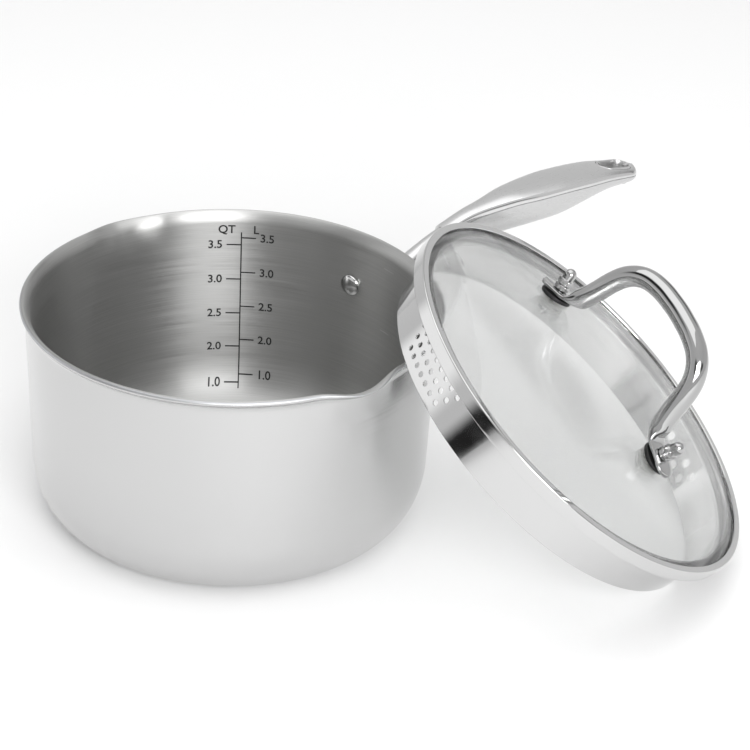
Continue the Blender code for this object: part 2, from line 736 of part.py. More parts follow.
def bar_path():
    """Middle line of half the bar, from the foot's end up to the middle of the top."""
    middle = foot_low + foot_thickness / 2
    base_x = stud_reach + middle * sin(foot_tilt)
    base_z = stud_base + middle * cos(foot_tilt)
    along = Vector((cos(foot_tilt), -sin(foot_tilt)))
    end = Vector((base_x, base_z)) + along * foot_length
    bend = Vector((base_x, base_z)) - along * 8.5 * mm
    top = stud_base + bar_height
    s = bar_shoulder
    arch = [(s + 4.2 * mm, stud_base + 11 * mm), (s + 2.0 * mm, stud_base + 19 * mm),
            (s, top - 21 * mm), (s - 2.4 * mm, top - 13.5 * mm), (s - 7.2 * mm, top - 7.2 * mm),
            (s - 13.5 * mm, top - 3.2 * mm), (s - 23 * mm, top - 0.8 * mm), (0.0, top)]
    return [tuple(end), (base_x, base_z), tuple(bend)] + arch


def bar_shape(share, angle):
    """The bar's section, swept from foot to foot: flat feet, oval bar, round ends."""
    half = np.array(bar_path())
    path = np.vstack((half, (half * (-1, 1))[-2::-1]))
    lengths = np.concatenate(((0.0,), np.cumsum(np.hypot(*np.diff(path, axis=0).T))))
    total = lengths[-1]
    at = share * total
    x = eased_path(at, lengths, path[:, 0])
    z = eased_path(at, lengths, path[:, 1])
    ahead = np.minimum(at + 0.5 * mm, total)
    behind = np.maximum(at - 0.5 * mm, 0.0)
    dx = eased_path(ahead, lengths, path[:, 0]) - eased_path(behind, lengths, path[:, 0])
    dz = eased_path(ahead, lengths, path[:, 1]) - eased_path(behind, lengths, path[:, 1])
    size = np.hypot(dx, dz)
    nx, nz = -dz / size, dx / size
    from_end = np.minimum(at, total - at)
    foot = foot_length + 7.0 * mm
    blend = np.clip((from_end - foot) / (9 * mm), 0.0, 1.0)
    blend = blend * blend * (3 - 2 * blend)
    thick = foot_thickness / 2 + (bar_half_thickness - foot_thickness / 2) * blend
    wide = foot_half_width + (bar_half_width - foot_half_width) * blend
    round_end = np.clip(1 - from_end / foot_half_width, 0.0, 1.0)
    wide = wide * np.sqrt(np.clip(1 - round_end ** 2, 0.0, 1.0))
    pole = np.where((share < 1e-6) | (share > 1 - 1e-6), 0.0, 1.0)
    power = 0.35 + 0.6 * blend
    lift = -thick * bent(np.sin(angle), 1.0) * pole
    side = wide * bent(np.cos(angle), 1.0) * pole
    flat = thick * np.sign(np.sin(angle)) * -np.abs(np.sin(angle)) ** power * pole
    lift = np.where(blend < 1.0, flat, lift)
    return x + nx * lift, side, z + nz * lift


def eased_path(at, lengths, values):
    """Value along a path of straight runs, with its corners rounded, but not its two ends."""
    reach = np.minimum(3.5 * mm, np.minimum(at, lengths[-1] - at))
    steps = np.linspace(-1.0, 1.0, 9)
    return np.mean([np.interp(at + step * reach, lengths, values) for step in steps], axis=0)


def make_bar(frame, feet, material):
    obj = add_object("lid_bar_handle", loft_mesh("lid_bar_handle", bar_shape, 46, 12), parts,
                     material, frame)
    radius = stud_radius + bolt_clearance
    for number, foot in enumerate(feet, 1):
        name = "foot_hole_%d" % number
        centre = Matrix.Translation((0, 0, foot_low + foot_thickness / 2))
        cut(obj, add_cutter(name, cylinders_mesh(name, [centre], radius, 8 * mm, 12), foot))
    settle(obj)
    smooth(obj, 40)


def glass_body_cutter(name, frame, above):
    """Closed solid that fills the glass and one side of it, a touching gap larger."""
    reach = stud_reach + 20 * mm
    if above:
        face = dome_points(reach, touch_gap, 10)
        far = [(reach, -60 * mm), (0.0, -60 * mm)]
    else:
        face = [(0.0, 90 * mm), (reach, 90 * mm)]
        far = dome_points(reach, -glass_thickness - touch_gap, 10)[::-1]
    return turned_cutter(name, face + far, 60, frame, closed=False)


def ring_profile(outer, inner, low, high, corner=0.0):
    if corner:
        return [(outer - corner, high), (outer, high - corner), (outer, low + corner),
                (outer - corner, low), (inner, low), (inner, high)]
    return [(outer, high), (outer, low), (inner, low), (inner, high)]


def hex_mesh(name, low, high):
    centre = Matrix.Translation((0, 0, (low + high) / 2))
    radius = nut_flats / sqrt(3)
    return cylinders_mesh(name, [centre], radius, high - low, 6)


def make_fixings(number, foot, over, under, materials):
    chrome, rubber, silicone, steel = materials
    bore = stud_radius + bolt_clearance
    gasket = turned("foot_gasket_%d" % number,
                    ring_profile(gasket_radius, bore, -4 * mm, gasket_height, 0.5 * mm), 24,
                    parts, rubber, foot)
    cut(gasket, over)
    washer_top = -glass_thickness
    pad_low = washer_top - touch_gap - silicone_height
    pad = turned("glass_washer_%d" % number,
                 ring_profile(silicone_radius, bore, pad_low, washer_top + 2 * mm), 20,
                 parts, silicone, foot)
    cut(pad, under)
    ring_top = pad_low - touch_gap
    ring_low = ring_top - washer_height
    plate = turned("steel_washer_%d" % number,
                   ring_profile(washer_radius, bore, ring_low, ring_top), 20, parts, steel, foot)
    head_top = ring_low - touch_gap
    screw_profile = [(0.0, thread_length), (stud_radius - 0.4 * mm, thread_length),
                     (stud_radius, thread_length - 0.4 * mm), (stud_radius, head_top),
                     (screw_head, head_top), (screw_head, head_top - 0.9 * mm),
                     (screw_head - 1.1 * mm, head_top - screw_head_height + 0.2 * mm),
                     (0.0, head_top - screw_head_height)]
    screw = turned("stud_screw_%d" % number, screw_profile, 14, parts, steel, foot, closed=False)
    jam = add_object("jam_nut_%d" % number, hex_mesh("jam_nut", jam_low, jam_low + jam_height),
                     parts, chrome, foot)
    cap = add_object("cap_nut_%d" % number, hex_mesh("cap_nut", cap_low, cap_low + cap_hex_height),
                     parts, chrome, foot)
    dome_start = cap_low + cap_height - cap_radius
    dome = [(cap_radius * sin(a), dome_start + cap_radius * cos(a))
            for a in np.linspace(0.0, pi / 2, 5)]
    tower = turned_cutter("cap_tower_%d" % number,
                          dome + [(cap_radius, cap_low + 1 * mm), (0.0, cap_low + 1 * mm)], 16,
                          foot, closed=False)
    cut(cap, tower, "UNION")
    bore_top = thread_length + bolt_clearance
    name = "nut_bore_%d" % number
    centre = Matrix.Translation((0, 0, bore_top - 10 * mm))
    drill = add_cutter(name, cylinders_mesh(name, [centre], bore, 20 * mm, 14), foot)
    cut(jam, drill)
    cut(cap, drill)
    for obj in (gasket, pad, plate, screw, jam, cap):
        settle(obj)
        smooth(obj, 40)


def make_lid():
    lid_frame = add_frame("lid_frame", lid_matrix())
    feet = foot_frames(lid_frame)
    chrome = make_material("lid_chrome", (0.75, 0.75, 0.76), 0.06, 1.0)
    band_steel = make_material("lid_band_steel", (0.68, 0.68, 0.68), 0.12, 1.0)
    glass = make_material("tempered_glass", (0.94, 0.97, 0.96), 0.02, 0.0, 1.0)
    rubber = make_material("black_silicone", (0.02, 0.02, 0.02), 0.50, 0.0)
    silicone = make_material("clear_silicone", (0.55, 0.55, 0.54), 0.45, 0.0)
    steel = make_material("screw_steel", (0.60, 0.60, 0.60), 0.25, 1.0)
    make_band(lid_frame, band_steel)
    make_glass(lid_frame, feet, glass)
    make_seal(lid_frame, rubber)
    make_bar(lid_frame, feet, chrome)
    over = glass_body_cutter("glass_and_below", lid_frame, True)
    under = glass_body_cutter("glass_and_above", lid_frame, False)
    for number, foot in enumerate(feet, 1):
        make_fixings(number, foot, over, under, (chrome, rubber, silicone, steel))


clear_scene()
parts = new_collection(OBJECT_NAME)
cutters = new_collection("cutters")
make_pan()
make_pan_handle()
make_lid()
bpy.context.view_layer.update()
print("built", sum(obj.type == "MESH" for obj in parts.objects), "pieces")
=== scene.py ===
import json
from math import acos, atan2, cos, pi, radians, sin, sqrt

import bpy
import numpy as np
from mathutils import Matrix, Quaternion, Vector


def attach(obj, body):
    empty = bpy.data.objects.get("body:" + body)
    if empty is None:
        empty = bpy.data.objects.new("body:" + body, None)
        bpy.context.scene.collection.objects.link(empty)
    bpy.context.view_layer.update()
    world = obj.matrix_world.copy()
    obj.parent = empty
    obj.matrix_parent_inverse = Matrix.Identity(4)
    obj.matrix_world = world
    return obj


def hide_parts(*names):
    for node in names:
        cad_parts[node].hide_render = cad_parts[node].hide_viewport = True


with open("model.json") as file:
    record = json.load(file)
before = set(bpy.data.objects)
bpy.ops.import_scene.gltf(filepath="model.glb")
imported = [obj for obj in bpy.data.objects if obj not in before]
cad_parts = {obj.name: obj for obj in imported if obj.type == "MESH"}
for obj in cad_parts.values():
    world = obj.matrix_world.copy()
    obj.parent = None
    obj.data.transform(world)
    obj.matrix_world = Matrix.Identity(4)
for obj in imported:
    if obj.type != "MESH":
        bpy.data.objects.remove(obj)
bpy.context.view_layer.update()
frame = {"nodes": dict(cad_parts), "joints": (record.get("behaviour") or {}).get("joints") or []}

# A clad steel saucepan with two pouring lips, and its glass strainer lid leaning on the rim.
# Metres, +Z up, the pan's handle along +X. The lid is worked out in its own frame, centred on
# the skirt's lower edge with +Z out of the dome and +X along its bar handle.

mm = 0.001


def toLinear(hexCode):
    # sRGB hex to linear: the standard two-part curve, channel by channel
    parts = np.array([int(hexCode[i:i + 2], 16) for i in (1, 3, 5)]) / 255
    return tuple(np.where(parts <= 0.04045, parts / 12.92, ((parts + 0.055) / 1.055) ** 2.4))


def addNode(tree, kind, inputs=None, **settings):
    made = tree.nodes.new(kind)
    for key, value in settings.items():
        setattr(made, key, value)
    for key, value in (inputs or {}).items():
        if isinstance(value, bpy.types.NodeSocket):
            tree.links.new(value, made.inputs[key])
        else:
            made.inputs[key].default_value = value
    return made


def newMaterial(name, colour, metallic, roughness, **sockets):
    # A Principled shader with its constants on its own sockets; gives the material, tree and shader
    material = bpy.data.materials.new(name)
    material.use_nodes = True
    tree = material.node_tree
    shader = tree.nodes["Principled BSDF"]
    shader.inputs["Base Color"].default_value = (*toLinear(colour), 1)
    shader.inputs["Metallic"].default_value = metallic
    shader.inputs["Roughness"].default_value = roughness
    for key, value in sockets.items():
        shader.inputs[key].default_value = value
    return material, tree, shader


def newPiece(name, points, loops, sizes, material=None):
    # Object from its points, the vertex at every face corner and each face's corner count
    mesh = bpy.data.meshes.new(name)
    mesh.vertices.add(len(points))
    mesh.vertices.foreach_set("co", points.ravel())
    mesh.loops.add(len(loops))
    mesh.loops.foreach_set("vertex_index", loops)
    mesh.polygons.add(len(sizes))
    mesh.polygons.foreach_set("loop_start", np.cumsum(sizes) - sizes)
    mesh.update(calc_edges=True)
    if material:
        mesh.materials.append(material)
    piece = bpy.data.objects.new(name, mesh)
    bpy.context.scene.collection.objects.link(piece)
    return piece


def meshArrays(mesh):
    # A mesh's points, the vertex at every face corner and each face's corner count
    points = np.empty(len(mesh.vertices) * 3)
    corners = np.empty(len(mesh.loops), int)
    counts = np.empty(len(mesh.polygons), int)
    mesh.vertices.foreach_get("co", points)
    mesh.loops.foreach_get("vertex_index", corners)
    mesh.polygons.foreach_get("loop_total", counts)
    return points.reshape(-1, 3), corners, counts


def surface(name, rows, closeRows=False, material=None):
    # Closed surface from a grid of points, rows x columns: the columns join up round each row.
    # The first and last rows join too, or each end is closed by a fan to its own middle.
    # Faces are index sums over the whole grid, turned outwards by the sign of the volume.
    count, around = rows.shape[:2]
    points = rows.reshape(-1, 3)
    row = np.arange(count if closeRows else count - 1)[:, None]
    column = np.arange(around)[None, :]
    after = (column + 1) % around
    below = (row + 1) % count
    quads = np.stack(np.broadcast_arrays(row * around + column, row * around + after,
                                         below * around + after, below * around + column), -1)
    quads = quads.reshape(-1, 4)
    fans = np.zeros((0, 3), int)
    if not closeRows:
        ends = np.stack((rows[0].mean(0), rows[-1].mean(0)))
        points = np.vstack((points, ends))
        ring = np.arange(around)
        first = np.stack((np.full(around, len(points) - 2), (ring + 1) % around, ring), -1)
        start = (count - 1) * around
        last = np.stack((np.full(around, len(points) - 1), start + ring,
                         start + (ring + 1) % around), -1)
        fans = np.vstack((first, last))
    triangles = np.vstack((quads[:, [0, 1, 2]], quads[:, [0, 2, 3]], fans))
    corners = points[triangles]
    volume = np.einsum("ij,ij->i", corners[:, 0], np.cross(corners[:, 1], corners[:, 2])).sum()
    if volume < 0:
        quads = quads[:, ::-1]
        fans = fans[:, ::-1]
    loops = np.concatenate((quads.ravel(), fans.ravel()))
    sizes = np.repeat((4, 3), (len(quads), len(fans)))
    piece = newPiece(name, points, loops, sizes, material)
    piece.data.validate()
    return piece


def grid(*parts):
    # Coordinates spread over rows and columns and put side by side as points
    return np.stack(np.broadcast_arrays(*parts), -1)


def polar(radius, angle, z):
    return grid(radius * np.cos(angle), radius * np.sin(angle), z)


def circle(steps):
    return np.linspace(0, 2 * pi, steps, endpoint=False)


def rounded(points, radii, spacing=1.2 * mm, arc=6):
    # A line through the points with each corner swapped for an arc of its radius, and with
    # points about every spacing along the straight runs
    points = [np.array(p, float) for p in points]
    if np.isscalar(radii):
        radii = [0, *[radii] * (len(points) - 2), 0]
    line = [points[0]]
    for before, corner, after, radius in zip(points, points[1:], points[2:], radii[1:-1]):
        back = before - corner
        ahead = after - corner
        room = 0.49 * min(np.hypot(*back), np.hypot(*ahead))
        back, ahead = back / np.hypot(*back), ahead / np.hypot(*ahead)
        turn = acos(np.clip(-back @ ahead, -1, 1))
        if turn < 0.02 or radius <= 0:
            line.append(corner)
            continue
        reach = min(radius * np.tan(turn / 2), room)
        share = np.linspace(0, 1, arc)[:, None]
        start, end = corner + back * reach, corner + ahead * reach
        bend = (1 - share) ** 2 * start + 2 * share * (1 - share) * corner + share ** 2 * end
        line.extend(bend)
    line.append(points[-1])
    dense = [line[0]]
    for a, b in zip(line, line[1:]):
        steps = max(1, int(np.ceil(np.hypot(*(b - a)) / spacing)))
        dense.extend(a + (b - a) * k / steps for k in range(1, steps + 1))
    return np.array(dense)


def turned(name, profile, matrix, steps=96, material=None, closed=False):
    # Body of revolution: each profile point (r, z) swings round Z, then the matrix places it.
    # An open profile starts and ends on the axis, where the fans close it.
    r, z = np.array(profile).T[:, :, None]
    if not closed:
        r, z = r[1:-1], z[1:-1]
    return surface(name, placed(polar(r, circle(steps), z), matrix), closed, material)


def placed(points, matrix):
    # Points turned and moved by the matrix, all at once
    turn = np.array(matrix.to_3x3())
    return points @ turn.T + np.array(matrix.translation)


def smooth(piece, angle=30):
    piece.data.shade_smooth()
    piece.data.set_sharp_from_angle(angle=radians(angle))
    return piece


def finished(piece, body, slotName, *nodes, angle=30):
    smooth(piece, angle)
    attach(piece, body)
    if nodes:
        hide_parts(*nodes)
    return piece


def eased(x, knots, reach):
    # A line through the knots with its corners rounded over the reach
    places, values = np.array(knots, float).T
    offsets = np.linspace(-reach, reach, 15)
    return np.mean([np.interp(x + offset, places, values) for offset in offsets], axis=0)


def bent(value, power):
    # A signed power: with sines and cosines it squares an ellipse off or draws it in
    return np.sign(value) * np.abs(value) ** power


def evaluatedMesh(piece):
    bpy.context.view_layer.update()
    graph = bpy.context.evaluated_depsgraph_get()
    return bpy.data.meshes.new_from_object(piece.evaluated_get(graph))


def cutWith(piece, cutters):
    # Boolean difference, applied at once, and the cutters removed
    for cutter in cutters:
        modifier = piece.modifiers.new("cut", "BOOLEAN")
        modifier.object = cutter
        modifier.solver = "EXACT"
    mesh = evaluatedMesh(piece)
    piece.modifiers.clear()
    piece.data = mesh
    for cutter in cutters:
        bpy.data.objects.remove(cutter, do_unlink=True)
    return piece


def ownPlace(tree, matrix):
    # A piece's own coordinates: the object's, brought back from where the matrix put it
    coordinates = addNode(tree, "ShaderNodeTexCoord")
    return addNode(tree, "ShaderNodeMapping", {
        "Vector": coordinates.outputs["Object"], "Location": matrix.translation,
        "Rotation": matrix.to_euler()}, vector_type="TEXTURE").outputs[0]


def roundTheAxis(tree, run, pitch):
    # Coordinates for marks that run round the pan: the direction from the axis, one unit for
    # each run along the circle, plus the radius and the height, one unit for each pitch
    parts = addNode(tree, "ShaderNodeSeparateXYZ", {"Vector": ownPlace(tree, upright)})
    flat = addNode(tree, "ShaderNodeCombineXYZ", {"X": parts.outputs[0], "Y": parts.outputs[1]})
    length = addNode(tree, "ShaderNodeVectorMath", {0: flat.outputs[0]}, operation="LENGTH")
    direction = addNode(tree, "ShaderNodeVectorMath", {0: flat.outputs[0]}, operation="NORMALIZE")
    wide = addNode(tree, "ShaderNodeVectorMath", {
        0: direction.outputs[0], "Scale": steelLook["turnRadius"] / run}, operation="SCALE")
    total = addNode(tree, "ShaderNodeMath", {0: length.outputs["Value"], 1: parts.outputs[2]})
    fast = addNode(tree, "ShaderNodeMath", {0: total.outputs[0], 1: 1 / pitch},
                   operation="MULTIPLY")
    lift = addNode(tree, "ShaderNodeCombineXYZ", {"Z": fast.outputs[0]})
    return addNode(tree, "ShaderNodeVectorMath", {0: wide.outputs[0],
                                                  1: lift.outputs[0]}).outputs[0]


def alongGrain(tree, matrix, sizes):
    # A piece's own coordinates in units of the grain's size along each of its axes
    return addNode(tree, "ShaderNodeVectorMath", {
        0: ownPlace(tree, matrix), 1: [1 / size for size in sizes]},
        operation="MULTIPLY").outputs[0]


def grainOn(tree, shader, vector, roughRange, depth=0, colours=None):
    # One noise drives the roughness over its range, a bump of the depth and a tint
    grain = addNode(tree, "ShaderNodeTexNoise", {"Vector": vector, "Scale": 1.0, "Detail": 3.0})
    rough = addNode(tree, "ShaderNodeMapRange", {
        "Value": grain.outputs["Fac"], "From Min": 0.3, "From Max": 0.7,
        "To Min": roughRange[0], "To Max": roughRange[1]})
    tree.links.new(rough.outputs[0], shader.inputs["Roughness"])
    if depth:
        bump = addNode(tree, "ShaderNodeBump", {
            "Height": grain.outputs["Fac"], "Strength": 1.0, "Distance": depth})
        tree.links.new(bump.outputs[0], shader.inputs["Normal"])
    if colours:
        tint = addNode(tree, "ShaderNodeMix", {"Factor": grain.outputs["Fac"]}, data_type="RGBA")
        tint.inputs["A"].default_value = (*toLinear(colours[0]), 1)
        tint.inputs["B"].default_value = (*toLinear(colours[1]), 1)
        tree.links.new(tint.outputs["Result"], shader.inputs["Base Color"])


lidJoint = next(j for j in frame["joints"] if j["name"] == "lid_turn")
lidOrigin = Vector(lidJoint["pos_m"])
lidAxis = Vector(lidJoint["axis"]).normalized()


def middleOf(node):
    return Vector(meshArrays(frame["nodes"][node].data)[0].mean(0))


barWay = middleOf("stud_screw_1") - middleOf("stud_screw_2")
barWay = (barWay - lidAxis * barWay.dot(lidAxis)).normalized()
lidMatrix = Matrix((barWay, lidAxis.cross(barWay), lidAxis)).transposed().to_4x4()
lidMatrix.translation = lidOrigin
upright = Matrix()

steelLook = dict(
    turnRadius=100 * mm,  # mean radius of the marks that run round the pan
    outside="#c8c8c8", outsideRough=(0.13, 0.20), wheelPitch=1.6 * mm, wheelRun=40 * mm,
    wheelDepth=0.002 * mm,
    inside="#b7b7b6", insideTints=("#a6a6a5", "#c8c8c7"), insideRough=(0.36, 0.48),
    brushPitch=0.45 * mm, brushRun=45 * mm, brushDepth=0.006 * mm, brushStretch=0.85,
    handle="#cbcbcb", handleTints=("#c8c8c8", "#d0d0d0"), handleRough=(0.27, 0.32),
    beltPitch=0.35 * mm, beltRun=14 * mm, beltDepth=0.0015 * mm,
    bright="#d8d8d8", band="#cccccc", bar="#b0b0b0", screw="#bdbdbb",
    brightRough=(0.04, 0.09), hazeRun=50 / 7 * mm,
    core="#bcbdbf", coreRough=(0.34, 0.46), corePitch=0.6 * mm, coreRun=200 / 3 * mm,
    mark="#2c2c2c", markTints=("#242424", "#3a3a3a"), markRough=(0.42, 0.6),
    markPitch=0.4 * mm,
)
clearLook = dict(
    glass="#fbfdfc", alpha=0.5, glassIndex=1.5, waveRun=100 / 3 * mm, waveDepth=0.008 * mm,
    rubberIndex=1.41, rubberPitch=0.5 * mm, rubberDepth=0.01 * mm, rubberSpread=0.06,
)


def stainlessOutside():
    # 18/0 stainless, buffed with a soft wheel: a clean reflection that is blurred a little,
    # with faint polishing lines round the pan, drawn coarser than real so that they show
    material, tree, shader = newMaterial("buffedStainless", steelLook["outside"], 1, 0.16)
    vector = roundTheAxis(tree, steelLook["wheelRun"], steelLook["wheelPitch"])
    grainOn(tree, shader, vector, steelLook["outsideRough"], steelLook["wheelDepth"])
    return material


def stainlessInside():
    # 18/10 stainless, brushed on a lathe with an abrasive pad: fine lines round the pan that
    # stretch each reflection up and down into soft bands
    material, tree, shader = newMaterial("latheBrushedStainless", steelLook["inside"], 1, 0.4)
    shader.inputs["Anisotropic"].default_value = steelLook["brushStretch"]
    shader.inputs["Anisotropic Rotation"].default_value = 0.25  # a quarter turn: up and down
    vector = roundTheAxis(tree, steelLook["brushRun"], steelLook["brushPitch"])
    grainOn(tree, shader, vector, steelLook["insideRough"], steelLook["brushDepth"],
            steelLook["insideTints"])
    tangent = addNode(tree, "ShaderNodeTangent", direction_type="UV_MAP")
    tree.links.new(tangent.outputs[0], shader.inputs["Tangent"])
    return material


def satinStainless():
    # Stainless handle, finished on a satin belt along its length: short fine lines
    material, tree, shader = newMaterial("beltSatinStainless", steelLook["handle"], 1, 0.28)
    pitch = steelLook["beltPitch"]
    vector = alongGrain(tree, upright, (steelLook["beltRun"], pitch, pitch))
    grainOn(tree, shader, vector, steelLook["handleRough"], steelLook["beltDepth"],
            steelLook["handleTints"])
    return material


def mirrorStainless(name, colour, matrix):
    # Stainless polished on a mop: a mirror with a faint haze in patches a few millimetres wide
    material, tree, shader = newMaterial(name, colour, 1, 0.06)
    vector = alongGrain(tree, matrix, (steelLook["hazeRun"],) * 3)
    grainOn(tree, shader, vector, steelLook["brightRough"])
    return material


def rolledAluminium():
    # The clad sheet's core: soft rolled aluminium, dull and a little bluer than the steel
    material, tree, shader = newMaterial("rolledAluminium", steelLook["core"], 1, 0.4)
    vector = roundTheAxis(tree, steelLook["coreRun"], steelLook["corePitch"])
    grainOn(tree, shader, vector, steelLook["coreRough"])
    return material


def temperedGlass():
    # Soda-lime glass, tempered: clear, with the faint green of its iron, and a slow waviness
    # from the quench that bends what is seen in it
    material, tree, shader = newMaterial("temperedGlass", clearLook["glass"], 0, 0.0,
                                         Alpha=clearLook["alpha"], IOR=clearLook["glassIndex"])
    shader.inputs["Transmission Weight"].default_value = 1.0
    vector = alongGrain(tree, lidMatrix, (clearLook["waveRun"],) * 3)
    wave = addNode(tree, "ShaderNodeTexNoise", {"Vector": vector, "Scale": 1.0, "Detail": 1.0})
    bump = addNode(tree, "ShaderNodeBump", {"Height": wave.outputs["Fac"], "Strength": 1.0,
                                            "Distance": clearLook["waveDepth"]})
    tree.links.new(bump.outputs[0], shader.inputs["Normal"])
    return material


def siliconeRubber(name, colour, roughness, clear=0.0):
    # Moulded silicone: soft sheen and a very fine spark-eroded grain from the mould
    material, tree, shader = newMaterial(name, colour, 0, roughness,
                                         IOR=clearLook["rubberIndex"])
    shader.inputs["Transmission Weight"].default_value = clear
    vector = alongGrain(tree, lidMatrix, (clearLook["rubberPitch"],) * 3)
    spread = clearLook["rubberSpread"]
    grainOn(tree, shader, vector, (roughness - spread, roughness + spread),
            clearLook["rubberDepth"])
    return material


def etchedMark():
    # Laser-etched scale: the steel is darkened to a dull near-black, uneven at the grain
    material, tree, shader = newMaterial("etchedMark", steelLook["mark"], 0.4, 0.5)
    vector = alongGrain(tree, upright, (steelLook["markPitch"],) * 3)
    grainOn(tree, shader, vector, steelLook["markRough"], 0, steelLook["markTints"])
    return material


outsideSteel = stainlessOutside()
insideSteel = stainlessInside()
satinSteel = satinStainless()
brightSteel = mirrorStainless("mopPolishedStainless", steelLook["bright"], upright)
lidSteel = mirrorStainless("polishedBandStainless", steelLook["band"], lidMatrix)
lidChrome = mirrorStainless("mirrorBarStainless", steelLook["bar"], lidMatrix)
coreMetal = rolledAluminium()
glass = temperedGlass()
blackSilicone = siliconeRubber("blackSilicone", "#121212", 0.42)
clearSilicone = siliconeRubber("clearSilicone", "#c8c8c4", 0.35, 0.35)
screwSteel = mirrorStainless("turnedScrewSteel", steelLook["screw"], lidMatrix)
markInk = etchedMark()
print("materials made")


pan = dict(
    height=116 * mm, radius=102.8 * mm, taper=1.4 * mm, cornerHeight=30 * mm,
    cornerWidth=21.5 * mm, wall=2.6 * mm, bend=6.5 * mm, bendAngle=radians(56),
    lipReach=5.6 * mm, lipHalfAngle=radians(14), lipHeight=23 * mm, lipDrop=2.8 * mm,
    steps=256, crowding=0.175, outerDepth=0.65 * mm, coreDepth=1.85 * mm, seam=0.04 * mm,
)


def lipStart():
    # The height at which the wall starts to bend outwards
    return pan["height"] - (pan["bend"] + pan["wall"]) * sin(pan["bendAngle"])


def wallRadius(z):
    # The wall's straight part leans out by the taper between its corner and the lip
    share = (z - pan["cornerHeight"]) / (lipStart() - pan["cornerHeight"])
    return pan["radius"] - pan["taper"] * (1 - share)


def rimEnd(depth):
    # The rim's edge is a half circle across the wall, reached by bending a little further
    half = pan["wall"] / 2
    reach = np.sqrt(np.clip(half ** 2 - (depth - half) ** 2, 0, None))
    return pan["bendAngle"] - half / (pan["bend"] + half) + reach / (pan["bend"] + depth)


def panFace(depth, bendSteps=14):
    # Section of the face that lies this deep in the wall, from the rim to the centre: an arc
    # outwards for the lip, the straight wall, a quarter ellipse and the flat bottom
    bend = pan["bend"] + depth
    angle = np.linspace(rimEnd(depth), 0, bendSteps)
    lip = np.stack((pan["radius"] + pan["bend"] - bend * np.cos(angle),
                    lipStart() + bend * np.sin(angle)), -1)
    z = np.linspace(lipStart(), pan["cornerHeight"], 56)[1:]
    side = np.stack((wallRadius(z) - depth, z), -1)
    a = np.linspace(0, pi / 2, 30)[1:]
    flat = pan["radius"] - pan["taper"] - pan["cornerWidth"]
    normal = np.stack((np.cos(a) / pan["cornerWidth"], np.sin(a) / pan["cornerHeight"]), -1)
    normal /= np.hypot(*normal.T)[:, None]
    corner = np.stack((flat + pan["cornerWidth"] * np.cos(a),
                       pan["cornerHeight"] * (1 - np.sin(a))), -1)
    corner = corner + depth * normal * (-1, 1)
    r = np.linspace(flat, 0, 22)[1:]
    bottom = np.stack((r, 0 * r + depth), -1)
    return np.vstack((lip, side, corner, bottom))


def pouringLips(points):
    # Both lips: the wall moves out and down near +Y and -Y, by a squared cosine across the
    # lip and by the square of the height within it
    x, y, z = points[..., 0], points[..., 1], points[..., 2]
    radius = np.hypot(x, y)
    azimuth = np.arctan2(y, x)
    off = (np.abs(azimuth) - pi / 2) / pan["lipHalfAngle"]
    across = np.where(np.abs(off) < 1, np.cos(np.clip(off, -1, 1) * pi / 2) ** 2, 0)
    up = np.clip((z - (pan["height"] - pan["lipHeight"])) / pan["lipHeight"], 0, 1) ** 2
    pushed = radius + pan["lipReach"] * across * up
    lowered = z - pan["lipDrop"] * across * up ** 3
    return polar(pushed, azimuth, lowered)


def panShell(name, start, end, material):
    # The outer face out to the rim, the rim's edge from depth to depth, then the inner face
    depths = np.linspace(start, end, 8)[1:-1]
    edge = np.vstack([panFace(d)[:1] for d in depths])
    profile = np.vstack((panFace(start)[::-1], edge, panFace(end)))
    angle = circle(pan["steps"])
    angle = angle + pan["crowding"] * np.sin(2 * angle)  # closer columns in the pouring lips
    r, z = profile[1:-1].T[:, :, None]
    piece = surface(name, pouringLips(polar(r, angle, z)), False, material)
    ringUv(piece.data)
    return piece


def ringUv(mesh):
    # UV map with U round the axis and V out along the radius and up, both in metres; a face
    # on the seam keeps all its corners on the side of its first one
    points, corners, counts = meshArrays(mesh)
    x, y, z = points[corners].T
    u = np.arctan2(y, x)
    first = np.repeat(u[np.cumsum(counts) - counts], counts)
    u = u - 2 * pi * np.round((u - first) / (2 * pi))
    uv = np.stack((u * steelLook["turnRadius"], z + np.hypot(x, y)), -1)
    layer = mesh.uv_layers.new(name="round")
    layer.data.foreach_set("uv", uv.ravel())


def makePan():
    outer, core, wall, seam = pan["outerDepth"], pan["coreDepth"], pan["wall"], pan["seam"]
    for name, start, end, material, slotName, node in (
            ("panOutside", 0, outer - seam, outsideSteel, "polished_outer_steel",
             "pan_outer_ply"),
            ("panCore", outer + seam, core - seam, coreMetal, "aluminium_core", "pan_core_ply"),
            ("panInside", core + seam, wall, insideSteel, "brushed_inner_steel",
             "pan_inner_ply")):
        finished(panShell(name, start, end, material), "pan", slotName, node, angle=60)
    print("pan made")


makePan()


scale = dict(
    azimuth=radians(52.6), low=10 * mm, high=103.5 * mm, line=0.7 * mm, lift=0.06 * mm,
    thickness=0.05 * mm, tick=8.0 * mm, textSize=6.6 * mm, textOut=14.2 * mm,
    values=("3.5", "3.0", "2.5", "2.0", "1.0"),
    litreTop=100.3 * mm, quartTop=96.1 * mm, step=20.8 * mm, headingHeight=105.0 * mm,
    headingOut=8 * mm, letterGrowth=0.11 * mm, letterSteps=4,
)


def innerRadius(z):
    # Radius of the pan's inner face at height z, read off the finished section
    r, up = panFace(pan["wall"]).T
    keep = up < lipStart()
    order = np.argsort(up[keep])
    return np.interp(z, up[keep][order], r[keep][order])


